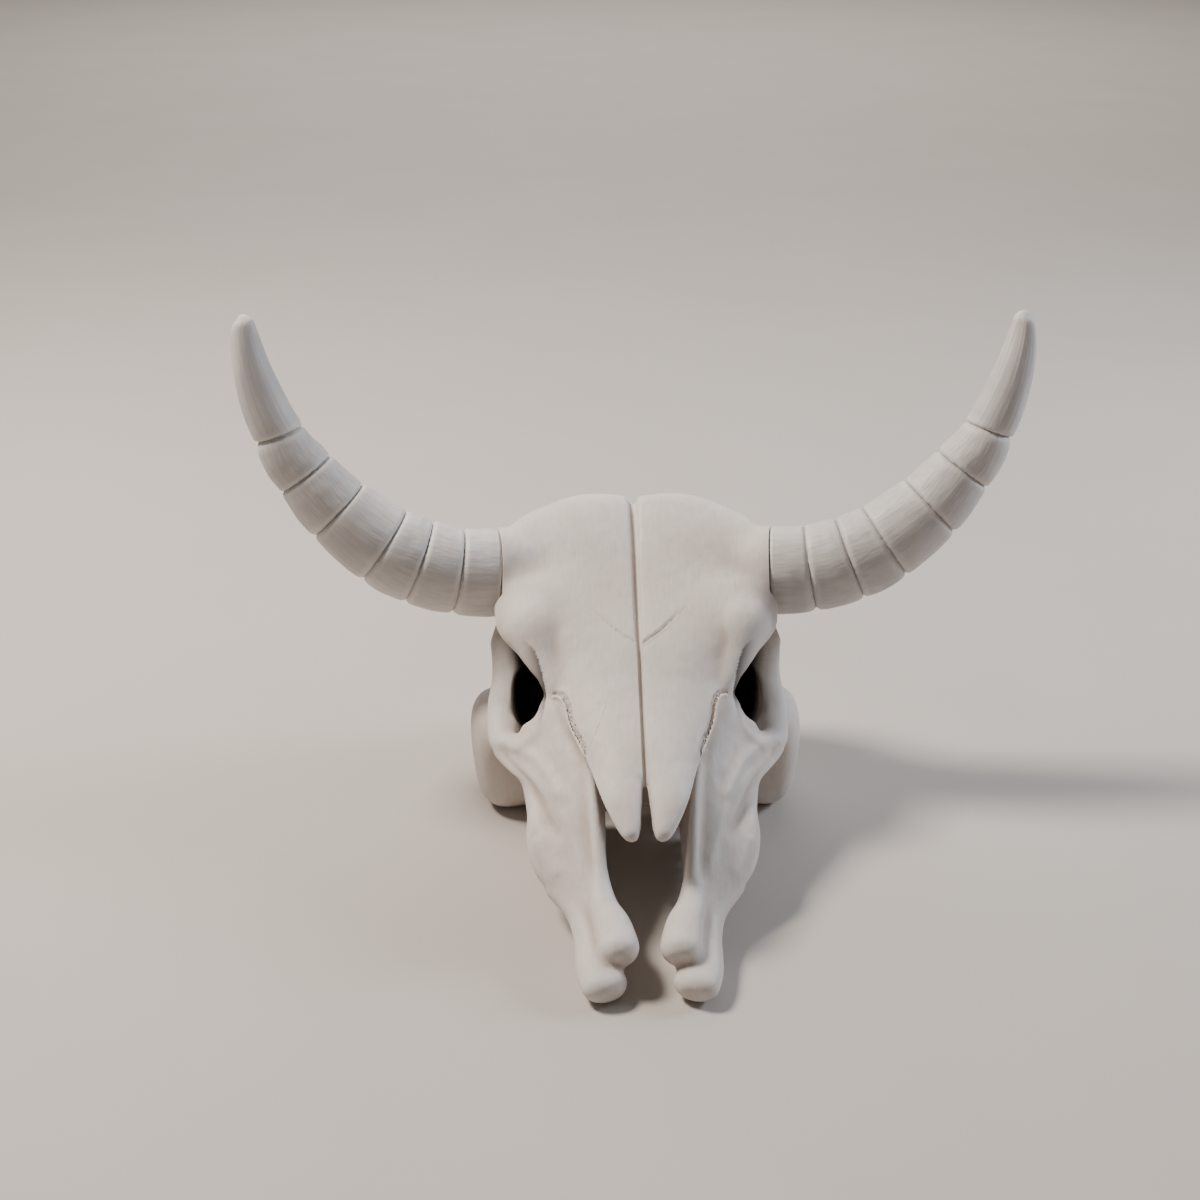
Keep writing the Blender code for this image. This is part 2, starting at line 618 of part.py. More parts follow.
def bones(skull):
    """Cuts the skull along its seams into its named bones."""
    for seam in (front_seam, roof_seams, middle_seam_front, middle_seam_back):
        subtract(skull, shaped(seam))
    for seam in (nasal_side_seam, nasal_floor_seam, temple_seam, jaw_tip_seam):
        for side in (1, -1):
            subtract(skull, shaped(seam, side))
    bm = bmesh.new()
    bm.from_mesh(skull.data)
    bodies = parts_of(bm)[:len(BONES)]
    made = []
    for name, place in BONES:
        place = Vector(place)
        body = min(bodies, key=lambda faces: min(
            (v.co - place).length for f in faces for v in f.verts))
        bodies.remove(body)
        one = bmesh.new()
        kept = {}
        for face in body:
            for vert in face.verts:
                if vert not in kept:
                    kept[vert] = one.verts.new(vert.co)
            one.faces.new([kept[vert] for vert in face.verts])
        made.append(object_from(one, name))
    bm.free()
    bpy.data.objects.remove(skull)
    return made


def horn_ring(name, start, side):
    """One length of horn between two ring cuts, or the tip."""
    tip = start == len(HORN_STOPS) - 2
    length = (horn_place(start + 1)[0] - horn_place(start)[0]).length
    edge = RING_EDGE / length
    gap = SEAM / 2 / length
    stations = [(gap, RING_EDGE * 0.8), (edge * 0.45, RING_EDGE * 0.25), (edge * 1.2, 0.0)]
    if tip:
        stations += [(t, -RING_SWELL * math.sin(math.pi * t)) for t in (0.25, 0.45, 0.65, 0.82)]
        stations += [(0.93, 0.0003), (1.0, 0.0022)]
    else:
        stations += [(0.5, -RING_SWELL)]
        stations += [(1 - t, inset) for t, inset in reversed(stations[:3])]
    rings = []
    for t, inset in stations:
        centre, ahead, radius = horn_place(start + t)
        up = ahead.cross(Vector((0, 1, 0))).normalized()
        across = up.cross(ahead)
        rings.append(ring_points(centre, across, up, radius - inset, radius - inset, HORN_SIDES))
    if tip:
        rings.append([centre + (p - centre) * 0.55 + ahead * 0.0035 for p in rings[-1]])
    for ring in rings:
        for p in ring:
            p.x *= side
    bm = bmesh.new()
    skin_rings(bm, rings)
    return object_from(bm, name)


def horns():
    made = []
    for side, word in ((1, "left"), (-1, "right")):
        for start in range(len(HORN_STOPS) - 1):
            tail = "tip" if start == len(HORN_STOPS) - 2 else f"ring_{start + 1}"
            made.append(horn_ring(f"horn_{word}_{tail}", start, side))
    return made


def finish(objects):
    """Moves everything over the origin, tints it and shades it smooth between its edges."""
    spots = [v.co for obj in objects for v in obj.data.vertices]
    middle = (min(p.y for p in spots) + max(p.y for p in spots)) / 2
    low = min(p.z for p in spots)
    for obj in objects:
        obj.data.transform(Matrix.Translation((0, -middle, -low)))
        horn = obj.name.startswith("horn")
        material = bpy.data.materials.new(obj.name)
        material.use_nodes = True
        shader = material.node_tree.nodes["Principled BSDF"]
        shader.inputs["Base Color"].default_value = HORN_TINT if horn else BONE_TINT
        shader.inputs["Roughness"].default_value = 0.50 if horn else 0.58
        obj.data.materials.append(material)
        obj.data.shade_smooth()
        obj.data.set_sharp_from_angle(angle=math.radians(38))


for old in list(bpy.data.objects):
    bpy.data.objects.remove(old)
finish(bones(whole_skull()) + horns())
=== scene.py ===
"""Looks of the horned bull skull: fine bones and horns, their materials, lights and camera.

The shapes are written in the skull's own lengths, in metres: X across, the animal's
left is +X, Y from the tips of the upper jaw back to the nape, Z up from the ground.
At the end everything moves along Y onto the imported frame.
"""

import math

import bmesh
import bpy
import numpy as np
from mathutils import Matrix, Vector, noise
from mathutils.bvhtree import BVHTree
from mathutils.kdtree import KDTree


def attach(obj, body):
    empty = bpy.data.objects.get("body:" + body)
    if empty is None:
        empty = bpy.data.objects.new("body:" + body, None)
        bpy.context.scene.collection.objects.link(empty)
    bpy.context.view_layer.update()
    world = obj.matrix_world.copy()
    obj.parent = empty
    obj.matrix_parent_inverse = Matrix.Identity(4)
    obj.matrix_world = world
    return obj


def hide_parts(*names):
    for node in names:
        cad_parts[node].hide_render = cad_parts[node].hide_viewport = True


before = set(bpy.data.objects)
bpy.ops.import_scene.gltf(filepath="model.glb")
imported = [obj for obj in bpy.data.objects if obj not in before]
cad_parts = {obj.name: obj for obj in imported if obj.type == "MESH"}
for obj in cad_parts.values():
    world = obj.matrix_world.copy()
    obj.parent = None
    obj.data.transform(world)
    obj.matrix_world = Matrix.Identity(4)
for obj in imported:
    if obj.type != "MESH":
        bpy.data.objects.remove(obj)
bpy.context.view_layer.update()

# Driving dimensions, as in the part's source.
SOURCE_VOXEL = 0.0025
SOFT_ROUNDS = 16
CRISP_ROUNDS = 3
EASE_ROUNDS = 45
HOLLOW_ROUNDS = 2
HORN_ROOT = Vector((0.1259, 0.3600, 0.2007))
POSTORBITAL = Vector((0.1190, 0.3200, 0.1500))
ORBIT_SIDE = Vector((0.1195, 0.2780, 0.1080))
ORBIT_CORNER = Vector((0.1170, 0.2400, 0.0910))
ORBIT_FLOOR = Vector((0.0990, 0.2190, 0.1000))
ORBIT_FRONT = Vector((0.0780, 0.2310, 0.1290))

# The middle of the roof of the skull, (y, z), nose to nape.
MIDLINE = (
    (0.050, 0.0830), (0.075, 0.0965), (0.090, 0.1060), (0.110, 0.1175), (0.150, 0.1365),
    (0.185, 0.1505), (0.215, 0.1635), (0.245, 0.1790), (0.270, 0.1890), (0.300, 0.2010),
    (0.330, 0.2160), (0.360, 0.2315), (0.385, 0.2445), (0.400, 0.2500), (0.415, 0.2500),
    (0.428, 0.2440), (0.445, 0.2280), (0.462, 0.2120),
)

# Cheek teeth on the left, front to back: (x, y, half length).
TEETH = (
    (0.0520, 0.137, 0.0070), (0.0560, 0.152, 0.0076), (0.0590, 0.168, 0.0080),
    (0.0615, 0.185, 0.0088), (0.0630, 0.204, 0.0096), (0.0630, 0.223, 0.0092),
)

# Seams between the bones. Plan lines are (x, y).
FRONT_SEAM = ((0.0, 0.249), (0.030, 0.274), (0.076, 0.229), (0.150, 0.236))
NASAL_SEAM = (
    (0.0760, 0.2290), (0.0660, 0.2172), (0.0600, 0.1955), (0.0530, 0.1756), (0.0485, 0.1560),
    (0.0470, 0.1380),
)
NASAL_DEPTH = 0.0240
ROOF_SEAM_HEIGHT = 0.1430
ROOF_SEAM_SLOPE = 0.20
TEMPLE_SEAM_X = 0.0775
JAW_TIP_SEAM_Y = 0.0920

# The horn's middle line and radius at each ring cut, root to tip.
HORN_STOPS = (
    (0.1259, 0.3600, 0.2007, 0.0399),
    (0.1607, 0.3548, 0.2049, 0.0391),
    (0.1955, 0.3527, 0.2158, 0.0387),
    (0.2260, 0.3531, 0.2321, 0.0370),
    (0.2653, 0.3572, 0.2643, 0.0324),
    (0.2923, 0.3617, 0.2977, 0.0275),
    (0.3137, 0.3661, 0.3333, 0.0223),
    (0.3400, 0.3840, 0.4330, 0.0085),
)
HORN_STEPS = 8
TIP_BOW = 0.0052
TIP_SWELL = 0.0014

# Each bone by a place on its surface.
BONES = tuple(
    (f"{bone}_{word}", (x * side, y, z))
    for bone, x, y, z in (
        ("frontal", 0.060, 0.330, 0.2200), ("nasal", 0.020, 0.150, 0.1370),
        ("maxilla", 0.095, 0.135, 0.0590), ("premaxilla", 0.036, 0.010, 0.0330),
        ("zygomatic", 0.149, 0.310, 0.0500))
    for word, side in (("left", 1), ("right", -1))) + (("braincase", (0.0, 0.450, 0.1300)),)

# Fineness of the looks.
VOXEL = 0.0016
SEAM = 0.00006
BAR_SIDES = 32
CAP_ANGLES = (20.0, 40.0, 60.0)
HORN_SIDES = 120

# The groove along the middle: half width (y, metres), nose to nape.
GROOVE_WIDTHS = (
    (0.050, 0.0024), (0.240, 0.0026), (0.262, 0.0036), (0.350, 0.0040), (0.400, 0.0048),
    (0.462, 0.0050),
)
GROOVE_DEPTH = 0.0052
GROOVE_FOOT = 0.50
GROOVE_REACH = 0.0120

# Camera, from the photo's view of the skull.
CAMERA_TILT = math.radians(25.0)
CAMERA_TURN = math.radians(1.2)
CAMERA_LENS = 50.01
CAMERA_SENSOR = 36.0
CAMERA_AWAY = 1.283
CAMERA_ACROSS = 0.0390
CAMERA_UP = 0.3079

# Folds of the left face: (height, reach, places). Hollows have a negative height.
FOLDS = (
    (0.0030, 0.0060, ((0.1180, 0.222, 0.0970), (0.1015, 0.2075, 0.1015), (0.0875, 0.1900, 0.1025),
                      (0.0780, 0.1715, 0.0990), (0.0705, 0.1535, 0.0940), (0.0630, 0.1380, 0.0890))),
    (-0.0052, 0.0070, ((0.1235, 0.2295, 0.0950), (0.1180, 0.2150, 0.0910), (0.1090, 0.1960, 0.0895),
                       (0.0975, 0.1770, 0.0880), (0.0880, 0.1580, 0.0830), (0.0790, 0.1350, 0.0760),
                       (0.0665, 0.1160, 0.0690))),
    (-0.0022, 0.0050, ((0.0600, 0.1940, 0.1290), (0.0545, 0.1745, 0.1210), (0.0515, 0.1495, 0.1070),
                       (0.0495, 0.1220, 0.0860), (0.0455, 0.0935, 0.0660), (0.0435, 0.0730, 0.0560))),
    (0.0014, 0.0060, ((0.0890, 0.1310, 0.0660), (0.0810, 0.1140, 0.0580), (0.0690, 0.0930, 0.0480))),
    (0.0012, 0.0045, ((0.0690, 0.1460, 0.0900), (0.0625, 0.1250, 0.0790), (0.0560, 0.1060, 0.0675),
                      (0.0490, 0.0830, 0.0540))),
)

# The crack between the nose bone and the upper jaw, in plan, from the eye forwards.
SUTURE = (
    (0.0757, 0.2275), (0.0705, 0.2230), (0.0660, 0.2172), (0.0630, 0.2097), (0.0600, 0.1955),
    (0.0570, 0.1860), (0.0530, 0.1756), (0.0490, 0.1640), (0.0472, 0.1560),
)
SUTURE_LIP = 0.0016
SUTURE_BAND = 0.0018
SUTURE_BAND_WIDTH = 0.0045

# The step between the forehead and the nose bones, in plan, from the middle outwards.
BROW_STEP = ((0.0012, 0.2480), (0.0180, 0.2613), (0.0300, 0.2740), (0.0415, 0.2875))
BROW_STEP_DEPTH = 0.0021
BROW_STEP_WIDTH = 0.0045
NASAL_LINE = ((0.0290, 0.1980), (0.0335, 0.1830), (0.0400, 0.1700), (0.0445, 0.1610))

# The eye socket: its opening passes through three places, and painted shade darkens it behind them.
SOCKET_RIM = (0.1045, 0.2630, 0.1700)
SOCKET_FLOOR = (0.0905, 0.2165, 0.1205)
SOCKET_SIDE = (0.1165, 0.3000, 0.1280)
SOCKET_MIDDLE = (0.0980, 0.3000, 0.1100)
SOCKET_REACH = (0.0300, 0.1000, 0.0750)
SOCKET_FADE = 0.016

# The ends of each horn length: distance from the cut, and how far they lie in.
RING_RIM = ((0.00010, 0.0032), (0.0006, 0.0024), (0.0014, 0.0013), (0.0024, 0.0004), (0.0036, 0.0))
RING_STATIONS = 26
RING_SWELL = 0.0008
TIP_LENGTH = 0.0130
TIP_OVER = 0.0034

# Colours and finish.
BONE_PALE = (0.665, 0.605, 0.560, 1.0)
BONE_WARM = (0.600, 0.530, 0.480, 1.0)
BONE_STROKE = (0.480, 0.405, 0.350, 1.0)
# Painted shade for creases and broad hollows.
BONE_PAINTED_SHADE = (0.430, 0.340, 0.275, 1.0)
# Painted highlight on ridges and edges, on bone and on horn.
PAINTED_EDGE_HIGHLIGHT = (0.740, 0.705, 0.670, 1.0)
BONE_PORE = (0.380, 0.300, 0.240, 1.0)
# Painted shade deep in the eye sockets, and how much of it is laid on.
SOCKET_PAINTED_SHADE = (0.020, 0.012, 0.010, 1.0)
SOCKET_SHADE_SHARE = 0.94
# Near the middle line painted shade and highlight are left off: none within half this width, fully on
# beyond it.
GROOVE_CLEAR = 0.0070
HORN_PALE = (0.625, 0.585, 0.560, 1.0)
HORN_GREY = (0.530, 0.495, 0.485, 1.0)
HORN_STROKE = (0.390, 0.350, 0.335, 1.0)
FLOOR_PALE = (0.500, 0.455, 0.415, 1.0)
FLOOR_SHADE = (0.480, 0.435, 0.395, 1.0)
SHARP_ANGLE = 50.0

# Studio.
FLOOR_SIZE = 60.0
LAMP_TARGET = (0.0, 0.03, 0.10)
LAMPS = (
    ("warm_key", (-1.45, 0.55, 2.30), 0.6, 118.0, (1.0, 0.92, 0.84)),
    ("cool_side", (2.20, 0.60, 1.30), 0.7, 48.0, (0.78, 0.86, 1.0)),
    ("front_fill", (0.10, -2.80, 2.60), 1.6, 6.0, (1.0, 0.97, 0.94)),
)
WASH_PLACE = (0.0, 6.0, 3.6)
WASH_SIZE = 6.0
WASH_POWER = 300.0
SKY_COLOUR = (0.95, 0.92, 0.90, 1.0)
SKY_STRENGTH = 0.10


def between(table, at):
    """Reads a table of (place, value) pairs at a place, straight between its lines."""
    return float(np.interp(at, [row[0] for row in table], [row[1] for row in table]))


def curve_through(stops, steps):
    """Points of a smooth curve through stops, each a tuple of numbers."""
    out = []
    last = len(stops) - 1
    for i in range(last):
        a = stops[max(i - 1, 0)]
        b = stops[i]
        c = stops[i + 1]
        d = stops[min(i + 2, last)]
        for k in range(steps):
            t = k / steps
            out.append(tuple(
                0.5 * (2 * q + (r - p) * t + (2 * p - 5 * q + 4 * r - s) * t * t
                       + (3 * q - p - 3 * r + s) * t ** 3)
                for p, q, r, s in zip(a, b, c, d)))
    out.append(tuple(stops[-1]))
    return out


def skin_rings(bm, rings):
    """Joins rings of points into one closed body with filled ends."""
    made = [[bm.verts.new(p) for p in ring] for ring in rings]
    count = len(made[0])
    for low, high in zip(made, made[1:]):
        for i in range(count):
            j = (i + 1) % count
            bm.faces.new((low[i], low[j], high[j], high[i]))
    bm.faces.new(list(reversed(made[0])))
    bm.faces.new(made[-1])


def ring_points(centre, side, up, wide, high, count):
    return [centre + side * wide * math.cos(2 * math.pi * k / count)
            + up * high * math.sin(2 * math.pi * k / count) for k in range(count)]


def bar(bm, stops, steps=8):
    """A round-ended bar of oval section. A stop is (place, half width, half height)."""
    line = curve_through([(*place, wide, high) for place, wide, high in stops], steps)
    places = [Vector(p[:3]) for p in line]
    rings = []
    for i, (place, stop) in enumerate(zip(places, line)):
        ahead = places[min(i + 1, len(places) - 1)] - places[max(i - 1, 0)]
        ahead.normalize()
        side = ahead.cross(Vector((0, 0, 1)))
        if side.length < 0.2:
            side = Vector((1, 0, 0))
        side.normalize()
        up = side.cross(ahead)
        wide, high = max(stop[3], 0.001), max(stop[4], 0.001)
        caps = [(0.0, 1.0)]
        if i == 0:
            caps = [(-math.sin(math.radians(a)), math.cos(math.radians(a)))
                    for a in reversed(CAP_ANGLES)] + caps
        if i == len(places) - 1:
            caps += [(math.sin(math.radians(a)), math.cos(math.radians(a)))
                     for a in CAP_ANGLES]
        for shift, scale in caps:
            centre = place + ahead * min(wide, high) * shift
            rings.append(ring_points(centre, side, up, wide * scale, high * scale, BAR_SIDES))
    skin_rings(bm, rings)


def ball(bm, centre, radii, turn=(0, 0, 0), squareness=2.0):
    """An ellipsoid, or with more squareness a rounded block. Turn is in degrees."""
    made = bmesh.ops.create_icosphere(bm, subdivisions=5, radius=1)["verts"]
    matrix = Matrix.Translation(Vector(centre))
    for angle, axis in zip(turn, "XYZ"):
        matrix = matrix @ Matrix.Rotation(math.radians(angle), 4, axis)
    matrix = matrix @ Matrix.Diagonal((*radii, 1))
    for vert in made:
        reach = sum(abs(n) ** squareness for n in vert.co) ** (1 / squareness)
        vert.co = matrix @ (vert.co / reach)


def loft(bm, sections, steps=6, round_steps=5):
    """A closed body through cross sections, each (y, [(x, z), ...]), smooth both ways."""
    flat = [(y, *[n for corner in corners for n in corner]) for y, corners in sections]
    rings = []
    for y, *numbers in curve_through(flat, steps):
        outline = curve_through(list(zip(numbers[::2], numbers[1::2])), round_steps)
        rings.append([Vector((x, y, z)) for x, z in outline])
    skin_rings(bm, rings)


def cranium(bm):
    """Forehead, crown, braincase and the back of the head."""
    loft(bm, [
        (0.215, [(-0.006, 0.1640), (0.030, 0.1625), (0.052, 0.1540), (0.066, 0.1430), (0.068, 0.134),
                 (0.062, 0.120), (0.045, 0.100), (0.030, 0.090), (-0.006, 0.090)]),
        (0.245, [(-0.006, 0.1800), (0.035, 0.1790), (0.060, 0.1715), (0.079, 0.1550), (0.079, 0.144),
                 (0.066, 0.120), (0.050, 0.095), (0.030, 0.080), (-0.006, 0.080)]),
        (0.270, [(-0.006, 0.1900), (0.040, 0.1910), (0.078, 0.1875), (0.099, 0.1680), (0.098, 0.154),
                 (0.066, 0.125), (0.052, 0.095), (0.030, 0.072), (-0.006, 0.070)]),
        (0.300, [(-0.006, 0.2020), (0.045, 0.2045), (0.091, 0.2085), (0.119, 0.1900), (0.123, 0.168),
                 (0.080, 0.138), (0.058, 0.100), (0.035, 0.068), (-0.006, 0.065)]),
        (0.330, [(-0.006, 0.2165), (0.045, 0.2195), (0.088, 0.2165), (0.118, 0.2170), (0.126, 0.190),
                 (0.106, 0.145), (0.080, 0.100), (0.040, 0.068), (-0.006, 0.065)]),
        (0.360, [(-0.006, 0.2320), (0.040, 0.2380), (0.088, 0.2355), (0.1165, 0.2345), (0.128, 0.205),
                 (0.110, 0.155), (0.086, 0.110), (0.045, 0.070), (-0.006, 0.065)]),
        (0.385, [(-0.006, 0.2450), (0.040, 0.2505), (0.084, 0.2465), (0.1110, 0.2385), (0.123, 0.210),
                 (0.110, 0.165), (0.088, 0.120), (0.050, 0.070), (-0.006, 0.065)]),
        (0.408, [(-0.006, 0.2525), (0.040, 0.2575), (0.079, 0.2480), (0.1040, 0.2325), (0.114, 0.200),
                 (0.102, 0.165), (0.080, 0.120), (0.050, 0.075), (-0.006, 0.070)]),
        (0.428, [(-0.006, 0.2440), (0.038, 0.2480), (0.074, 0.2380), (0.094, 0.2150), (0.099, 0.190),
                 (0.088, 0.155), (0.068, 0.115), (0.045, 0.080), (-0.006, 0.078)]),
        (0.442, [(-0.006, 0.2200), (0.030, 0.2230), (0.060, 0.2140), (0.075, 0.1980), (0.080, 0.178),
                 (0.070, 0.150), (0.052, 0.115), (0.035, 0.090), (-0.006, 0.088)]),
    ])
    bar(bm, [
        (Vector((0.060, 0.372, 0.1950)), 0.030, 0.028),
        (Vector((0.095, 0.365, 0.1980)), 0.036, 0.036),
        (HORN_ROOT, 0.0425, 0.0425)])


def brow(bm):
    """The ridge over the eye and the stout process behind it."""
    bar(bm, [
        (Vector((0.0700, 0.238, 0.145)), 0.012, 0.012),
        (Vector((0.0805, 0.262, 0.160)), 0.018, 0.017),
        (Vector((0.0900, 0.290, 0.179)), 0.028, 0.026),
        (Vector((0.0990, 0.313, 0.178)), 0.022, 0.023),
        (Vector((0.1090, 0.334, 0.176)), 0.014, 0.016)])


def postorbital(bm):
    """From the root of the horn down to the bar behind the eye."""
    bar(bm, [
        (Vector((0.1080, 0.350, 0.180)), 0.0150, 0.0180),
        (Vector((0.1130, 0.336, 0.164)), 0.0125, 0.0150),
        (POSTORBITAL, 0.0120, 0.0115)])


def orbit_ring(bm):
    """The bar behind the eye and the lower rim of the socket."""
    bar(bm, [
        (POSTORBITAL, 0.0130, 0.0110),
        (Vector((0.1160, 0.301, 0.128)), 0.0140, 0.0095),
        (ORBIT_SIDE, 0.0145, 0.0095),
        (Vector((0.1190, 0.258, 0.097)), 0.0145, 0.0105),
        (ORBIT_CORNER, 0.0125, 0.0115),
        (ORBIT_FLOOR, 0.0115, 0.0100),
        (Vector((0.0850, 0.216, 0.115)), 0.0105, 0.0095),
        (ORBIT_FRONT, 0.0110, 0.0110)])


def upper_jaw(bm):
    """The side of the face from the eye to the front of the maxilla."""
    loft(bm, [
        (0.255, [(0.020, 0.160), (0.066, 0.142), (0.090, 0.112), (0.096, 0.070), (0.076, 0.034),
                 (0.035, 0.045), (0.026, 0.100)]),
        (0.228, [(0.030, 0.156), (0.076, 0.1425), (0.106, 0.104), (0.101, 0.066), (0.073, 0.029),
                 (0.034, 0.040), (0.029, 0.090)]),
        (0.200, [(0.038, 0.143), (0.071, 0.127), (0.101, 0.094), (0.097, 0.060), (0.072, 0.027),
                 (0.034, 0.037), (0.031, 0.085)]),
        (0.165, [(0.044, 0.124), (0.067, 0.105), (0.095, 0.078), (0.093, 0.050), (0.070, 0.025),
                 (0.036, 0.031), (0.031, 0.075)]),
        (0.135, [(0.041, 0.104), (0.064, 0.086), (0.0965, 0.062), (0.0895, 0.039), (0.066, 0.023),
                 (0.036, 0.027), (0.031, 0.062)]),
        (0.110, [(0.038, 0.083), (0.060, 0.068), (0.0895, 0.047), (0.080, 0.029), (0.060, 0.019),
                 (0.034, 0.021), (0.031, 0.050)]),
        (0.082, [(0.033, 0.062), (0.052, 0.052), (0.0665, 0.037), (0.064, 0.023), (0.054, 0.013),
                 (0.034, 0.014), (0.030, 0.038)]),
        (0.055, [(0.030, 0.044), (0.044, 0.037), (0.051, 0.027), (0.050, 0.018), (0.047, 0.012),
                 (0.034, 0.013), (0.029, 0.028)]),
    ])
    bar(bm, [
        (Vector((0.1190, 0.238, 0.086)), 0.0100, 0.0100),
        (Vector((0.1060, 0.210, 0.087)), 0.0105, 0.0100),
        (Vector((0.0870, 0.178, 0.088)), 0.0105, 0.0095),
        (Vector((0.0720, 0.150, 0.079)), 0.0095, 0.0085),
        (Vector((0.0610, 0.120, 0.060)), 0.0080, 0.0080)])


def jaw_tip(bm):
    """The two fingers of bone on each side of the nose opening and their knobs."""
    bar(bm, [
        (Vector((0.066, 0.105, 0.034)), 0.017, 0.014),
        (Vector((0.0530, 0.078, 0.028)), 0.0130, 0.0135),
        (Vector((0.0455, 0.052, 0.022)), 0.0140, 0.0135),
        (Vector((0.0425, 0.030, 0.0165)), 0.0160, 0.0150),
        (Vector((0.0400, 0.015, 0.0145)), 0.0175, 0.0140),
        (Vector((0.0352, 0.0015, 0.0130)), 0.0188, 0.0132)])
    bar(bm, [
        (Vector((0.045, 0.170, 0.117)), 0.0045, 0.0050),
        (Vector((0.042, 0.135, 0.096)), 0.0050, 0.0055),
        (Vector((0.0395, 0.110, 0.077)), 0.0060, 0.0060),
        (Vector((0.0375, 0.085, 0.055)), 0.0080, 0.0080),
        (Vector((0.0345, 0.062, 0.0425)), 0.0120, 0.0115),
        (Vector((0.0282, 0.043, 0.0375)), 0.0152, 0.0140),
        (Vector((0.0242, 0.0220, 0.0325)), 0.0168, 0.0150)])
    loft(bm, [
        (0.112, [(0.034, 0.080), (0.062, 0.060), (0.066, 0.025), (0.034, 0.030)]),
        (0.080, [(0.033, 0.059), (0.056, 0.046), (0.058, 0.018), (0.033, 0.022)]),
        (0.055, [(0.029, 0.045), (0.048, 0.037), (0.050, 0.014), (0.029, 0.018)]),
        (0.038, [(0.026, 0.036), (0.041, 0.031), (0.042, 0.013), (0.026, 0.017)]),
    ])


def nasal(bm):
    """One long pointed nose bone and its root in the forehead."""
    loft(bm, [
        (0.262, [(-0.004, 0.1860), (0.038, 0.1850), (0.066, 0.1750), (0.078, 0.158),
                 (0.060, 0.140), (-0.004, 0.140)]),
        (0.225, [(-0.004, 0.1690), (0.032, 0.1675), (0.056, 0.1580), (0.073, 0.1445),
                 (0.056, 0.128), (-0.004, 0.140)]),
        (0.185, [(-0.004, 0.1510), (0.024, 0.1505), (0.044, 0.1430), (0.0590, 0.1300),
                 (0.045, 0.122), (-0.004, 0.134)]),
        (0.150, [(-0.001, 0.1370), (0.0190, 0.1375), (0.0350, 0.1320), (0.0465, 0.1200),
                 (0.032, 0.1165), (-0.001, 0.122)]),
        (0.110, [(0.0026, 0.1180), (0.0150, 0.1210), (0.0270, 0.1190), (0.0360, 0.1110),
                 (0.024, 0.1060), (0.0026, 0.1075)]),
        (0.090, [(0.0040, 0.1060), (0.0120, 0.1095), (0.0205, 0.1080), (0.0265, 0.1015),
                 (0.019, 0.094), (0.0046, 0.0945)]),
        (0.0780, [(0.0068, 0.0985), (0.0115, 0.1005), (0.0155, 0.1000), (0.0185, 0.0955),
                  (0.014, 0.0900), (0.0075, 0.0905)]),
    ])


def cheek_wing(bm):
    """The deep flange of the cheek behind the eye, which stands on the ground."""
    ball(bm, (0.1145, 0.308, 0.0495), (0.0355, 0.0470, 0.0515), (0, 5, -4), 3.2)
    bar(bm, [
        (ORBIT_CORNER, 0.010, 0.012),
        (Vector((0.122, 0.275, 0.080)), 0.012, 0.016),
        (Vector((0.122, 0.315, 0.078)), 0.015, 0.022),
        (Vector((0.110, 0.362, 0.088)), 0.015, 0.018),
        (Vector((0.075, 0.392, 0.105)), 0.018, 0.018)])
    ball(bm, (0.092, 0.345, 0.095), (0.036, 0.030, 0.060))
    bar(bm, [
        (Vector((0.1150, 0.330, 0.160)), 0.012, 0.014),
        (Vector((0.1155, 0.328, 0.120)), 0.011, 0.018),
        (Vector((0.1160, 0.318, 0.080)), 0.013, 0.022)])


def skull_base(bm):
    """Underside and back: condyles, jugular processes and the floor of the braincase."""
    ball(bm, (0.024, 0.441, 0.085), (0.019, 0.020, 0.026))
    bar(bm, [
        (Vector((0.064, 0.405, 0.105)), 0.018, 0.018),
        (Vector((0.062, 0.408, 0.055)), 0.013, 0.016),
        (Vector((0.058, 0.404, 0.009)), 0.012, 0.014)])
    bar(bm, [
        (Vector((0, 0.430, 0.082)), 0.022, 0.014),
        (Vector((0, 0.360, 0.070)), 0.024, 0.014),
        (Vector((0, 0.300, 0.080)), 0.018, 0.014)])


def palate(bm):
    """Roof of the mouth behind the nose opening, with six cheek teeth beside it."""
    loft(bm, [
        (0.198, [(-0.006, 0.100), (0.040, 0.100), (0.040, 0.048), (-0.006, 0.052)]),
        (0.225, [(-0.006, 0.120), (0.050, 0.120), (0.050, 0.046), (-0.006, 0.050)]),
        (0.275, [(-0.006, 0.110), (0.040, 0.110), (0.044, 0.050), (-0.006, 0.054)]),
    ])
    for x, y, long in TEETH:
        ball(bm, (x, y, 0.0350), (0.0100, long, 0.0230), (0, 0, -6), 3.5)


def hollows(bm):
    """Spaces carved on each side: the deep eye socket and the temple."""
    ball(bm, (0.0945, 0.2920, 0.1090), (0.0170, 0.0760, 0.0300), (-25, 0, 0), 2.3)
    ball(bm, (0.0945, 0.2650, 0.1260), (0.0180, 0.0330, 0.0290), (35, 0, -8), 2.2)
    ball(bm, (0.1050, 0.2540, 0.1270), (0.0150, 0.0200, 0.0250), (35, 0, -20))
    ball(bm, (0.1370, 0.3920, 0.1330), (0.0330, 0.0450, 0.0260), (8, -10, 0))


def horn_place(along):
    """Centre, heading and radius of the horn at a distance counted in ring cuts."""
    line = curve_through(HORN_STOPS, HORN_STEPS)
    last = len(line) - 1
    k = min(int(along * HORN_STEPS), last - 1)
    f = along * HORN_STEPS - k
    places = [Vector(p[:3]) for p in line]
    heading = [(places[min(i + 1, last)] - places[max(i - 1, 0)]).normalized() for i in (k, k + 1)]
    bow = math.sin(math.pi * max(0.0, along - (len(HORN_STOPS) - 2)))
    return (places[k].lerp(places[k + 1], f) + Vector((TIP_BOW * bow, 0, 0)),
            heading[0].lerp(heading[1], f).normalized(),
            line[k][3] + (line[k + 1][3] - line[k][3]) * f + TIP_SWELL * bow)


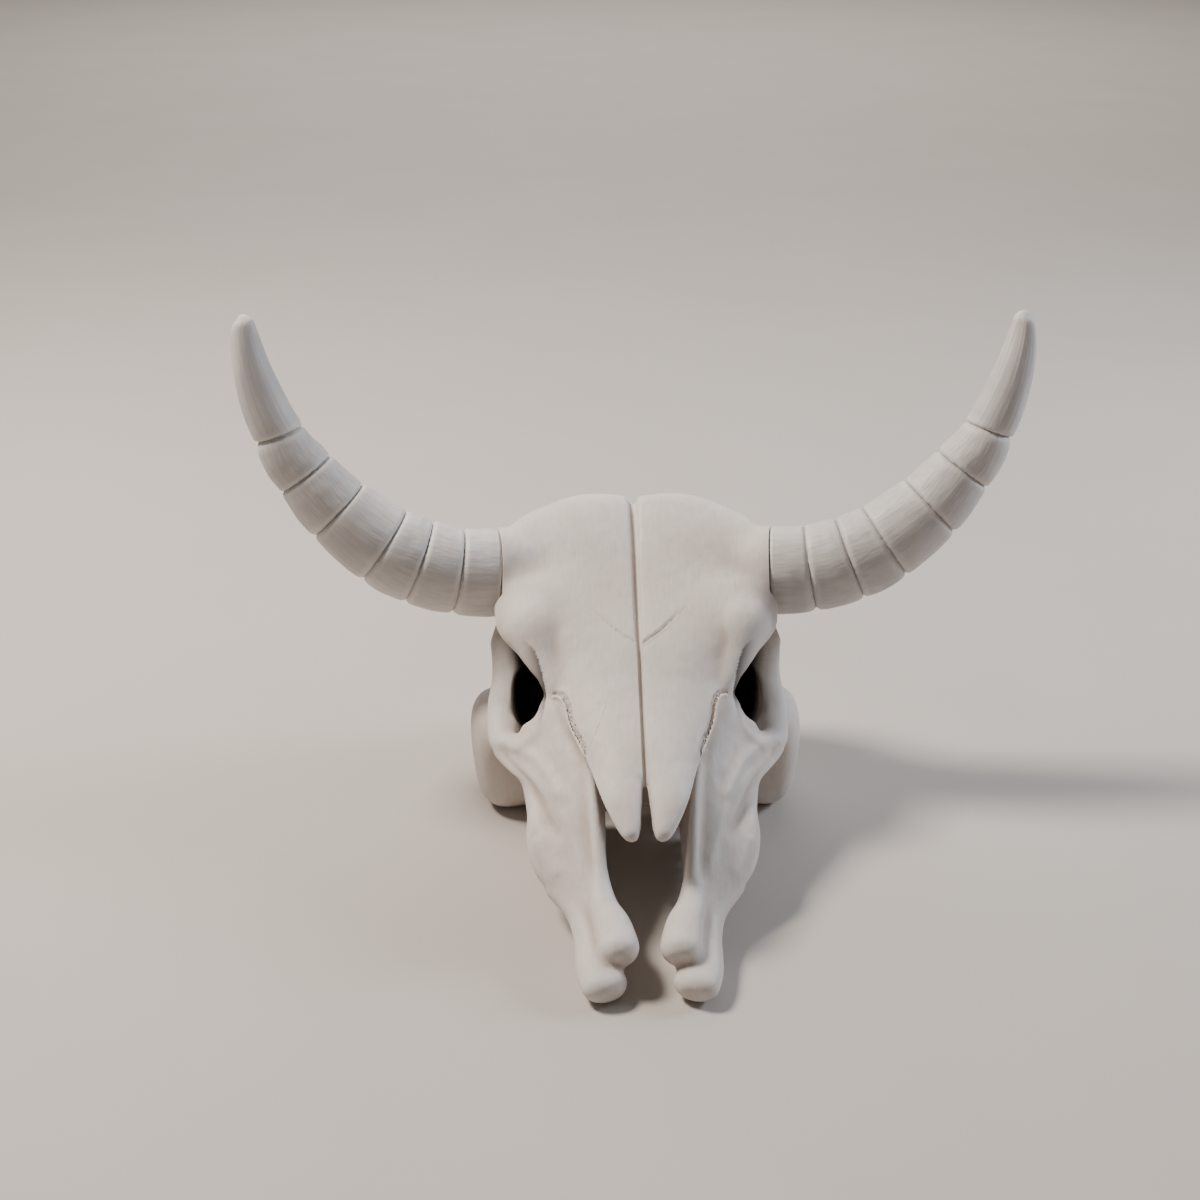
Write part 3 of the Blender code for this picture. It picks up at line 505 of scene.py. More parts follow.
def horn_seat(bm):
    """The flat face that the horn's first ring stands against."""
    centre, ahead, radius = horn_place(0)
    spin = Vector((0, 0, 1)).rotation_difference(ahead).to_matrix().to_4x4()
    bmesh.ops.create_cone(
        bm, segments=48, radius1=radius + 0.009, radius2=radius + 0.009, depth=0.040, cap_ends=True,
        matrix=Matrix.Translation(centre + ahead * (0.020 - SEAM / 2)) @ spin)


def ground(bm):
    """Everything below the ground, so that the feet end in small flats."""
    bmesh.ops.create_cube(
        bm, size=1, matrix=Matrix.Translation((0, 0.2, -0.05)) @ Matrix.Diagonal((1, 1, 0.1, 1)))


def sheet(bm, edges, across):
    """A thin wall. Each edge is its two ends, and across is its thickness."""
    rings = []
    for one, two in edges:
        a, b, half = Vector(one), Vector(two), Vector(across) / 2
        rings.append([a - half, b - half, b + half, a + half])
    skin_rings(bm, rings)


def roof_seam(y):
    return ROOF_SEAM_HEIGHT + ROOF_SEAM_SLOPE * (y - 0.32)


def nasal_floor(y):
    """Height of the seam under the nose bones, which runs along with the roof."""
    return between(MIDLINE, y) - NASAL_DEPTH


def front_seam(bm):
    """Between the face and everything behind it."""
    line = [(-x, y) for x, y in reversed(FRONT_SEAM[1:])] + list(FRONT_SEAM)
    sheet(bm, [((x, y, -0.02), (x, y, 0.30)) for x, y in line], (0, SEAM * 1.2, 0))


def roof_seams(bm):
    """Between the forehead and the braincase."""
    line = [(-x, y) for x, y in reversed(FRONT_SEAM[1:])] + list(FRONT_SEAM)
    sheet(bm, [((x, y, roof_seam(y)), (x, 0.48, roof_seam(0.48))) for x, y in line], (0, 0, SEAM))


def middle_seam_front(bm):
    y = FRONT_SEAM[0][1]
    sheet(bm, [((0, -0.05, -0.02), (0, y, -0.02)), ((0, -0.05, 0.30), (0, y, 0.30))], (SEAM, 0, 0))


def middle_seam_back(bm):
    y = FRONT_SEAM[0][1]
    sheet(bm, [((0, y, roof_seam(y)), (0, 0.48, roof_seam(0.48))), ((0, y, 0.30), (0, 0.48, 0.30))],
          (SEAM, 0, 0))


def nasal_side_seam(bm):
    sheet(bm, [((x, y, nasal_floor(y)), (x, y, 0.30)) for x, y in NASAL_SEAM], (SEAM * 1.1, 0, 0))


def nasal_floor_seam(bm):
    line = [(x, y) for x, y in NASAL_SEAM] + [(0.0470, 0.120)]
    rear, corner, side = FRONT_SEAM[:3]
    rear_x = corner[0] + (side[0] - corner[0]) * (corner[1] - rear[1]) / (corner[1] - side[1])
    edges = [((0, y, nasal_floor(y)), (x, y, nasal_floor(y))) for x, y in reversed(line)]
    edges.append(((0, rear[1], nasal_floor(rear[1])), (rear_x, rear[1], nasal_floor(rear[1]))))
    edges.append(((corner[0] - 0.001, corner[1], nasal_floor(corner[1])),
                  (corner[0] + 0.001, corner[1], nasal_floor(corner[1]))))
    sheet(bm, edges, (0, 0, SEAM))


def temple_seam(bm):
    x = TEMPLE_SEAM_X
    y = FRONT_SEAM[2][1]
    sheet(bm, [((x, y, -0.02), (x, 0.48, -0.02)), ((x, y, roof_seam(y)), (x, 0.48, roof_seam(0.48)))],
          (SEAM, 0, 0))


def jaw_tip_seam(bm):
    y = JAW_TIP_SEAM_Y
    sheet(bm, [((0.005, y + 0.006, -0.02), (0.120, y + 0.006, -0.02)),
               ((0.005, y - 0.004, 0.087), (0.120, y - 0.004, 0.087))], (0, SEAM, 0))

def object_from(bm, name):
    mesh = bpy.data.meshes.new(name)
    bmesh.ops.recalc_face_normals(bm, faces=bm.faces)
    bm.to_mesh(mesh)
    bm.free()
    obj = bpy.data.objects.new(name, mesh)
    bpy.context.scene.collection.objects.link(obj)
    return obj


def settle(obj):
    """Bakes an object's modifiers into its mesh."""
    graph = bpy.context.evaluated_depsgraph_get()
    mesh = bpy.data.meshes.new_from_object(obj.evaluated_get(graph))
    obj.modifiers.clear()
    obj.data = mesh
    return obj


def remesh(obj, rounds):
    """One skin over everything, softened as much as in the part's source."""
    modifier = obj.modifiers.new("fuse", "REMESH")
    modifier.mode = "VOXEL"
    modifier.voxel_size = VOXEL
    modifier = obj.modifiers.new("soften", "SMOOTH")
    modifier.factor = 0.5
    modifier.iterations = round(rounds * (SOURCE_VOXEL / VOXEL) ** 2)
    return settle(obj)


def eased(obj, rounds):
    """Softens the forehead further, so that its swellings run into each other."""
    group = obj.vertex_groups.new(name="forehead")
    co = places_of(obj.data)
    share = (np.clip((co[:, 1] - 0.262) / 0.025, 0, 1) * np.clip((co[:, 2] - 0.172) / 0.018, 0, 1)
             * (1 - 0.7 * np.clip((co[:, 1] - 0.375) / 0.025, 0, 1)))
    for i in np.flatnonzero(share > 0):
        group.add([int(i)], share[i], "REPLACE")
    modifier = obj.modifiers.new("ease", "SMOOTH")
    modifier.factor = 0.5
    modifier.iterations = round(rounds * (SOURCE_VOXEL / VOXEL) ** 2)
    modifier.vertex_group = group.name
    settle(obj)
    obj.vertex_groups.clear()
    return obj


def fused(pieces, rounds):
    """Both sides of the given pieces as one closed body."""
    bm = bmesh.new()
    for piece in pieces:
        piece(bm)
    body = object_from(bm, "skull")
    mirror = body.modifiers.new("mirror", "MIRROR")
    mirror.use_mirror_merge = False
    return remesh(body, rounds)


def subtract(obj, tool):
    modifier = obj.modifiers.new("cut", "BOOLEAN")
    modifier.operation = "DIFFERENCE"
    modifier.solver = "MANIFOLD"
    modifier.object = tool
    settle(obj)
    bpy.data.objects.remove(tool)
    return obj


def shaped(piece, side=1):
    """A cutting body made by piece, on one side."""
    bm = bmesh.new()
    piece(bm)
    bmesh.ops.scale(bm, vec=(side, 1, 1), verts=bm.verts)
    return object_from(bm, piece.__name__)


def places_of(mesh):
    co = np.empty(len(mesh.vertices) * 3, np.float32)
    mesh.vertices.foreach_get("co", co)
    return co.reshape(-1, 3).astype(float)


def normals_of(mesh):
    out = np.empty(len(mesh.vertices) * 3, np.float32)
    mesh.vertex_normals.foreach_get("vector", out)
    return out.reshape(-1, 3).astype(float)


def distance_to(everything, line, reach=0.02):
    """How far points are from a line, how far along it (0 to 1), and on which side.

    Points further off than reach get an endless distance.
    """
    line = np.array(line, float)
    distance = np.full(len(everything), np.inf)
    along = np.zeros(len(everything))
    side = np.zeros(len(everything))
    count = len(line) - 1
    for i, (a, b) in enumerate(zip(line, line[1:])):
        low, high = np.minimum(a, b) - reach, np.maximum(a, b) + reach
        close = np.flatnonzero(np.all((everything > low) & (everything < high), axis=1))
        points = everything[close]
        run = b - a
        t = np.clip((points - a) @ run / (run @ run), 0, 1)
        away = points - (a + t[:, None] * run)
        d = np.linalg.norm(away, axis=1)
        nearer = d < distance[close]
        found = close[nearer]
        distance[found] = d[nearer]
        along[found] = (i + t[nearer]) / count
        side[found] = np.sign(run[0] * away[nearer, 1] - run[1] * away[nearer, 0])
    return distance, along, side


def fade(x):
    """Smooth step from 0 at 0 to 1 at 1."""
    x = np.clip(x, 0, 1)
    return x * x * (3 - 2 * x)


def move_out(mesh, amount):
    """Moves the points of a mesh along their normals."""
    co = places_of(mesh) + normals_of(mesh) * amount[:, None]
    mesh.vertices.foreach_set("co", co.astype(np.float32).ravel())
    mesh.update()


def mirrored(line, side):
    return [(x * side, y, z) for x, y, z in line]


def folded(skull):
    """Presses the folds and hollows of the face into the fused skull, on both sides."""
    co = places_of(skull.data)
    amount = np.zeros(len(co))
    for height, reach, line in FOLDS:
        smooth = curve_through(line, 4)
        for side in (1, -1):
            d, along, _ = distance_to(co, mirrored(smooth, side))
            amount += height * np.exp(-(d / reach) ** 2) * fade(along / 0.2) * fade((1 - along) / 0.2)
    move_out(skull.data, amount)
    return skull


def on_skull(tree, x, y):
    """The place and the normal on the roof of the skull above a plan point."""
    place, normal, _, _ = tree.ray_cast(Vector((x, y, 0.4)), Vector((0, 0, -1)))
    return place, normal


def wedge(bm, stops, half, deep, above=0.004):
    """A thin V-shaped cutter along stops, each (place, outward direction)."""
    rings = []
    for i, (place, out) in enumerate(stops):
        ahead = stops[min(i + 1, len(stops) - 1)][0] - stops[max(i - 1, 0)][0]
        side = ahead.cross(out).normalized()
        wide = half[i] if isinstance(half, list) else half
        rise = above / deep * wide + wide
        rings.append([place - out * deep - side * 0.00003, place - out * deep + side * 0.00003,
                      place + out * above + side * rise, place + out * above - side * rise])
    skin_rings(bm, rings)


def refined(skull, lines, reach):
    """Halves the mesh's edges near some lines, for small forms."""
    bm = bmesh.new()
    bm.from_mesh(skull.data)
    co = places_of(skull.data)
    near = np.zeros(len(co), bool)
    for line in lines:
        near |= distance_to(co, line)[0] < reach
    bm.edges.ensure_lookup_table()
    edges = [e for e in bm.edges if near[e.verts[0].index] and near[e.verts[1].index]]
    bmesh.ops.subdivide_edges(bm, edges=edges, cuts=1, use_grid_fill=True)
    bm.to_mesh(skull.data)
    bm.free()
    return skull


def ragged(co, size, seed):
    """Even noise from -1 to 1 at each point, with features of about the given size."""
    shift = Vector((seed, 0, 0))
    return np.array([noise.noise(Vector(p) / size + shift) for p in co])


def seam_relief(skull, tree):
    """Raises the lip of the upper jaw along its crack, and sinks a rough band beside it."""
    lines = []
    for side in (1, -1):
        for plan in (SUTURE, BROW_STEP):
            smooth = curve_through(plan, 4)
            lines.append([tuple(on_skull(tree, x * side, y)[0]) for x, y in smooth])
    middle = [(0, y, z) for y, z in MIDLINE]
    refined(skull, lines + [middle], 0.0075)
    co = places_of(skull.data)
    amount = np.zeros(len(co))
    close = np.zeros(len(co), bool)
    for line in lines:
        close |= distance_to(co, line)[0] < 0.008
    rough = np.zeros(len(co))
    rough[close] = ragged(co[close], 0.0022, 3.0)
    for number, line in enumerate(lines):
        d, along, turn = distance_to(co, line)
        left = line[0][0] > 0
        ends = fade(along / 0.08) * fade((1 - along) / 0.12)
        if number % 2 == 0:
            inner = turn < 0 if left else turn > 0
            lip = SUTURE_LIP * np.exp(-((d - 0.0018) / 0.0017) ** 2)
            band = -SUTURE_BAND * (1 - fade(d / SUTURE_BAND_WIDTH)) * (1 + 0.55 * rough)
            amount += np.where(inner, band, lip) * ends * (d < 0.0075)
        else:
            inner = turn > 0 if left else turn < 0
            share = 1.0 if left else 0.70
            band = -BROW_STEP_DEPTH * share * (1 - fade(d / BROW_STEP_WIDTH)) * (1 + 0.5 * rough)
            lip = 0.0003 * share * np.exp(-((d - 0.001) / 0.001) ** 2)
            amount += np.where(inner, band, lip) * (1 - fade((along - 0.45) / 0.55)) * (d < 0.0075)
    off = np.abs(co[:, 0])
    top = co[:, 2] > np.interp(co[:, 1], [p[0] for p in MIDLINE], [p[1] for p in MIDLINE]) - 0.006
    amount -= np.where(top, 0.0010 * np.exp(-(off / 0.0055) ** 2), 0)
    move_out(skull.data, amount)
    return skull


def tree_of(obj):
    bm = bmesh.new()
    bm.from_mesh(obj.data)
    tree = BVHTree.FromBMesh(bm)
    bm.free()
    return tree


def crack(bm, tree, plan, side, half, deep, wander, seed):
    """A wandering hairline cut along a plan line of the roof."""
    stops = []
    for i, (x, y) in enumerate(curve_through(plan, 9)):
        shift = wander * noise.noise(Vector((x, y, seed)) * 420)
        place, normal = on_skull(tree, (x + shift) * side, y)
        stops.append((place, normal))
    count = len(stops)
    halves = [half * min(1.0, 0.15 + 4 * min(i, count - 1 - i) / count) for i in range(count)]
    wedge(bm, stops, halves, deep)


def median_groove(bm):
    """The furrow along the middle of the roof, with steep walls and rounded foot."""
    rings = []
    table = curve_through(MIDLINE, 3)
    for i, (y, z) in enumerate(table):
        before = Vector(table[max(i - 1, 0)])
        after = Vector(table[min(i + 1, len(table) - 1)])
        run = (after - before).normalized()
        out = Vector((0, -run.y, run.x))
        wide = between(GROOVE_WIDTHS, y)
        foot = Vector((0, y, z)) - out * GROOVE_DEPTH
        flat = wide * GROOVE_FOOT
        steps = ((0.0, flat * 0.6), (0.0006, flat), (GROOVE_DEPTH - 0.0010, wide * 0.86),
                 (GROOVE_DEPTH, wide), (GROOVE_DEPTH + GROOVE_REACH, wide * 3.4))
        ring = [foot + out * up + Vector((x, 0, 0)) for up, x in steps]
        ring += [foot + out * up - Vector((x, 0, 0)) for up, x in reversed(steps)]
        rings.append(ring)
    skin_rings(bm, rings)


def whole_skull():
    soft = eased(fused((cranium, brow, upper_jaw), SOFT_ROUNDS), EASE_ROUNDS)
    crisp = fused((nasal, postorbital, orbit_ring, jaw_tip, cheek_wing, skull_base, palate),
                  CRISP_ROUNDS)
    bm = bmesh.new()
    for body in (soft, crisp):
        bm.from_mesh(body.data)
        bpy.data.objects.remove(body)
    skull = folded(remesh(object_from(bm, "skull"), CRISP_ROUNDS))
    subtract(skull, fused((hollows,), HOLLOW_ROUNDS))
    skull = remesh(skull, CRISP_ROUNDS)
    tree = tree_of(skull)
    seam_relief(skull, tree)
    tree = tree_of(skull)
    for side in (1, -1):
        subtract(skull, shaped(horn_seat, side))
        for plan, half, deep, wander, seed in (
                (SUTURE, 0.00095, 0.0036, 0.0017, 1.3), (BROW_STEP, 0.00025, 0.0012, 0.0005, 2.1),
                (NASAL_LINE, 0.00014, 0.0005, 0.0008, 4.7)):
            bm = bmesh.new()
            crack(bm, tree, plan, side, half, deep, wander, seed)
            subtract(skull, object_from(bm, "crack"))
    subtract(skull, shaped(median_groove))
    return subtract(skull, shaped(ground))


def parts_of(bm):
    """The separate closed bodies of a mesh, as lists of faces, largest first."""
    left = set(bm.faces)
    bodies = []
    while left:
        body = {left.pop()}
        edge = list(body)
        while edge:
            face = edge.pop()
            for side in face.edges:
                for other in side.link_faces:
                    if other in left:
                        left.remove(other)
                        body.add(other)
                        edge.append(other)
        bodies.append(body)
    return sorted(bodies, key=len, reverse=True)


def bones(skull):
    """Cuts the skull along its seams into its named bones."""
    for seam in (front_seam, roof_seams, middle_seam_front, middle_seam_back):
        subtract(skull, shaped(seam))
    for seam in (nasal_side_seam, nasal_floor_seam, temple_seam, jaw_tip_seam):
        for side in (1, -1):
            subtract(skull, shaped(seam, side))
    bm = bmesh.new()
    bm.from_mesh(skull.data)
    bodies = parts_of(bm)[:len(BONES)]
    middles = [np.array([f.verts[0].co[:] for f in faces]) for faces in bodies]
    made = []
    for name, place in BONES:
        gaps = [np.linalg.norm(spots - place, axis=1).min() for spots in middles]
        nearest = gaps.index(min(gaps))
        body = bodies.pop(nearest)
        middles.pop(nearest)
        one = bmesh.new()
        kept = {}
        for face in body:
            for vert in face.verts:
                if vert not in kept:
                    kept[vert] = one.verts.new(vert.co)
            one.faces.new([kept[vert] for vert in face.verts])
        made.append(object_from(one, f"{name}_bone"))
    bm.free()
    bpy.data.objects.remove(skull)
    return made


def cavity_of(mesh, rounds):
    """How far each point lies below its smoothed neighbourhood, in metres."""
    edges = np.empty(len(mesh.edges) * 2, np.int32)
    mesh.edges.foreach_get("vertices", edges)
    a, b = edges.reshape(-1, 2).T
    co = places_of(mesh)
    soft = co.copy()
    count = np.bincount(a, minlength=len(co)) + np.bincount(b, minlength=len(co))
    for _ in range(rounds):
        total = np.zeros_like(soft)
        for axis in range(3):
            total[:, axis] = (np.bincount(a, soft[b, axis], len(co))
                              + np.bincount(b, soft[a, axis], len(co)))
        soft = 0.5 * soft + 0.5 * total / count[:, None]
    return np.sum((soft - co) * normals_of(mesh), axis=1)


def paint(mesh, name, values):
    attribute = mesh.attributes.new(name, "FLOAT", "POINT")
    attribute.data.foreach_set("value", np.asarray(values, np.float32))


def painted_socket_shade(co):
    """Share of painted shade: 0 outside the eye sockets, rising to 1 a little way behind their rims.
    """
    rim, floor, side = (np.array(p) for p in (SOCKET_RIM, SOCKET_FLOOR, SOCKET_SIDE))
    inward = np.cross(floor - rim, side - rim)
    inward /= np.linalg.norm(inward)
    if inward[1] < 0:
        inward = -inward
    half = np.abs(co * (1, 0, 0)) + co * (0, 1, 1)
    depth = (half - rim) @ inward
    middle = np.array(SOCKET_MIDDLE)
    reach = np.linalg.norm((half - middle) / np.array(SOCKET_REACH), axis=1)
    return fade(depth / SOCKET_FADE) * (reach < 1)


def horn_piece(name, start, side):
    """One length of horn between two ring cuts, or the tip, with fine furrows along it."""
    tip = start == len(HORN_STOPS) - 2
    length = (horn_place(start + 1)[0] - horn_place(start)[0]).length
    rim = [(at / length, inset, 1.0) for at, inset in RING_RIM]
    last = 1 - ((TIP_LENGTH - TIP_OVER) / length if tip else rim[-1][0])
    body = np.linspace(rim[-1][0], last, RING_STATIONS)[1:-1]
    stations = rim + [(t, None, 1.0) for t in body]
    if tip:
        for turn in (0, 15, 30, 45, 58, 70, 80, 86):
            angle = math.radians(turn)
            stations.append((last + TIP_LENGTH / length * math.sin(angle), None, math.cos(angle)))
    else:
        stations += [(1 - t, inset, 1.0) for t, inset, _ in reversed(rim)]
    rings = []
    grain = []
    for t, inset, share in stations:
        centre, ahead, radius = horn_place(start + min(t, 1.0))
        centre = centre + ahead * max(t - 1.0, 0.0) * length
        up = ahead.cross(Vector((0, 1, 0))).normalized()
        across = up.cross(ahead)
        ring = []
        for k in range(HORN_SIDES):
            angle = 2 * math.pi * k / HORN_SIDES
            c, s = math.cos(angle), math.sin(angle)
            far = (start + t) * 7
            fine = noise.noise(Vector((c * 9, s * 9, far * 0.35 + 5 * side)))
            broad = noise.noise(Vector((c * 1.6, s * 1.6, far * 0.5 + 9 * side)))
            if inset is None:
                cut = -RING_SWELL * math.sin(math.pi * min(t, 1)) - 0.00022 * fine - 0.0005 * broad
            else:
                chip = noise.noise(Vector((c * 14, s * 14, start * 3.1 + round(t) * 1.7 + side)))
                cut = inset * (1 + 0.40 * chip) - 0.0005 * broad
            out = (radius - cut) * share
            ring.append(centre + across * (out * c) + up * (out * s))
            grain.append((c, s, start + t))
        rings.append(ring)
    for ring in rings:
        for p in ring:
            p.x *= side
    bm = bmesh.new()
    skin_rings(bm, rings)
    obj = object_from(bm, name)
    attribute = obj.data.attributes.new("grain", "FLOAT_VECTOR", "POINT")
    attribute.data.foreach_set("vector", np.array(grain, np.float32).ravel())
    return obj


def horns():
    made = []
    for side, word in ((1, "left"), (-1, "right")):
        for start in range(len(HORN_STOPS) - 1):
            tail = "tip" if start == len(HORN_STOPS) - 2 else f"ring_{start + 1}"
            made.append(horn_piece(f"horn_{word}_{tail}_fine", start, side))
    return made


class Nodes:
    """Builds a material's node tree in few words."""

    def __init__(self, name):
        self.material = bpy.data.materials.new(name)
        self.material.use_nodes = True
        self.tree = self.material.node_tree
        self.shader = self.tree.nodes["Principled BSDF"]

    def add(self, kind, inputs=None, **settings):
        node = self.tree.nodes.new(kind)
        for key, value in settings.items():
            setattr(node, key, value)
        for key, value in (inputs or {}).items():
            if isinstance(value, bpy.types.NodeSocket):
                self.tree.links.new(value, node.inputs[key])
            else:
                node.inputs[key].default_value = value
        return node

    def join(self, out, socket):
        self.tree.links.new(out, self.shader.inputs[socket])

    def noise(self, vector, scale, detail=3.0, rough=0.55):
        node = self.add("ShaderNodeTexNoise", {
            "Vector": vector, "Scale": scale, "Detail": detail, "Roughness": rough})
        return node.outputs["Fac"]

    def stretched(self, vector, scale):
        node = self.add("ShaderNodeMapping", {"Vector": vector, "Scale": scale})
        return node.outputs["Vector"]

    def ramp(self, value, low, high, out_low=0.0, out_high=1.0):
        node = self.add("ShaderNodeMapRange", {
            "Value": value, "From Min": low, "From Max": high,
            "To Min": out_low, "To Max": out_high})
        return node.outputs["Result"]

    def mix(self, factor, one, two, blend="MIX"):
        node = self.add("ShaderNodeMix", data_type="RGBA", blend_type=blend)
        for socket, value in ((node.inputs[0], factor), (node.inputs[6], one), (node.inputs[7], two)):
            if isinstance(value, bpy.types.NodeSocket):
                self.tree.links.new(value, socket)
            else:
                socket.default_value = value
        return node.outputs[2]

    def times(self, one, two, operation="MULTIPLY"):
        node = self.add("ShaderNodeMath", operation=operation)
        for socket, value in zip(node.inputs, (one, two)):
            if isinstance(value, bpy.types.NodeSocket):
                self.tree.links.new(value, socket)
            else:
                socket.default_value = value
        return node.outputs[0]

    def bump(self, height, strength, distance, under=None):
        inputs = {"Height": height, "Strength": strength, "Distance": distance}
        if under is not None:
            inputs["Normal"] = under
        return self.add("ShaderNodeBump", inputs).outputs["Normal"]


def bone_material():
    """Dry bone, worked with fine strokes, with painted shade in its hollows and creases, painted
    highlight on its ridges and painted shade deep in the eye sockets.
    """
    make = Nodes("bone")
    spot = make.add("ShaderNodeTexCoord").outputs["Object"]
    patch = make.ramp(make.noise(spot, 16.0, 4.0), 0.35, 0.65)
    colour = make.mix(patch, BONE_PALE, BONE_WARM)
    stroke = make.noise(make.stretched(spot, (260.0, 60.0, 110.0)), 1.0, 4.0, 0.6)
    colour = make.mix(make.ramp(stroke, 0.42, 0.70, 0.0, 0.26), colour, BONE_STROKE)
    # Painted shade in broad hollows.
    broad = make.add("ShaderNodeAttribute", attribute_name="hollow").outputs["Fac"]
    colour = make.mix(make.ramp(broad, 0.0002, 0.0030, 0.0, 0.80), colour, BONE_PAINTED_SHADE)
    # Painted shade in creases.
    cavity = make.add("ShaderNodeAttribute", attribute_name="cavity").outputs["Fac"]
    colour = make.mix(make.ramp(cavity, 0.00004, 0.00060, 0.0, 0.40), colour, BONE_PAINTED_SHADE)
    # Painted highlight on ridges and edges.
    edge = make.ramp(cavity, -0.00010, -0.00080)
    colour = make.mix(make.times(edge, 0.45), colour, PAINTED_EDGE_HIGHLIGHT)
    pores = make.ramp(make.noise(spot, 420.0, 2.0), 0.66, 0.74)
    colour = make.mix(make.times(pores, 0.25), colour, BONE_PORE)
    # Painted shade deep in the eye sockets, nearly black.
    socket_shade = make.add("ShaderNodeAttribute", attribute_name="socket").outputs["Fac"]
    colour = make.mix(socket_shade, colour, SOCKET_PAINTED_SHADE)
    make.join(colour, "Base Color")
    make.join(make.ramp(make.noise(spot, 90.0, 3.0), 0.3, 0.7, 0.50, 0.66), "Roughness")
    facets = make.noise(spot, 75.0, 1.0, 0.3)
    normal = make.bump(facets, 0.40, 0.0016)
    normal = make.bump(stroke, 0.40, 0.0009, normal)
    normal = make.bump(make.noise(spot, 700.0, 2.0), 0.12, 0.0002, normal)
    make.join(normal, "Normal")
    make.shader.inputs["Specular IOR Level"].default_value = 0.35
    return make.material


def horn_material():
    """Pale dry horn with strokes along its length and painted highlight on the edges of its rings."""
    make = Nodes("horn")
    spot = make.add("ShaderNodeTexCoord").outputs["Object"]
    grain = make.add("ShaderNodeAttribute", attribute_name="grain").outputs["Vector"]
    patch = make.ramp(make.noise(spot, 22.0, 4.0), 0.35, 0.65)
    colour = make.mix(patch, HORN_PALE, HORN_GREY)
    stroke = make.noise(make.stretched(grain, (14.0, 14.0, 2.2)), 1.0, 4.0, 0.6)
    colour = make.mix(make.ramp(stroke, 0.42, 0.68, 0.0, 0.40), colour, HORN_STROKE)
    # Painted highlight on the ends of the rings.
    cavity = make.add("ShaderNodeAttribute", attribute_name="cavity").outputs["Fac"]
    edge = make.ramp(cavity, -0.00006, -0.00050)
    colour = make.mix(make.times(edge, 0.55), colour, PAINTED_EDGE_HIGHLIGHT)
    make.join(colour, "Base Color")
    make.join(make.ramp(make.noise(spot, 90.0, 3.0), 0.3, 0.7, 0.42, 0.58), "Roughness")
    normal = make.bump(make.noise(spot, 60.0, 1.0, 0.3), 0.35, 0.0016)
    normal = make.bump(stroke, 0.45, 0.0010, normal)
    normal = make.bump(make.noise(spot, 600.0, 2.0), 0.12, 0.0002, normal)
    make.join(normal, "Normal")
    make.shader.inputs["Specular IOR Level"].default_value = 0.40
    return make.material


def floor_material():
    make = Nodes("floor")
    spot = make.add("ShaderNodeTexCoord").outputs["Object"]
    shade = make.ramp(make.noise(spot, 3.0, 3.0), 0.3, 0.7)
    make.join(make.mix(shade, FLOOR_PALE, FLOOR_SHADE), "Base Color")
    make.shader.inputs["Roughness"].default_value = 0.75
    return make.material


def lit(name, place, size, power, colour, target=LAMP_TARGET):
    """A soft square lamp that shines on a place."""
    light = bpy.data.lights.new(name, "AREA")
    light.size = size
    light.energy = power
    light.color = colour
    lamp = bpy.data.objects.new(name, light)
    bpy.context.scene.collection.objects.link(lamp)
    lamp.location = place
    lamp.rotation_mode = "QUATERNION"
    lamp.rotation_quaternion = (Vector(target) - Vector(place)).to_track_quat("-Z", "Y")


def studio():
    """Pale floor, soft light warm from the skull's right and cooler from its left."""
    mesh = bpy.data.meshes.new("floor")
    w = FLOOR_SIZE / 2
    mesh.from_pydata([(-w, -w, 0), (w, -w, 0), (w, w, 0), (-w, w, 0)], [], [(0, 1, 2, 3)])
    floor = bpy.data.objects.new("floor", mesh)
    bpy.context.scene.collection.objects.link(floor)
    floor.location.z = -0.0004
    mesh.materials.append(floor_material())
    for lamp in LAMPS:
        lit(*lamp)
    lit("back_wash", WASH_PLACE, WASH_SIZE, WASH_POWER, (1.0, 0.96, 0.92), (0.0, WASH_PLACE[1], 0.0))
    world = bpy.data.worlds.new("studio")
    bpy.context.scene.world = world
    world.use_nodes = True
    sky = world.node_tree.nodes["Background"]
    sky.inputs["Color"].default_value = SKY_COLOUR
    sky.inputs["Strength"].default_value = SKY_STRENGTH


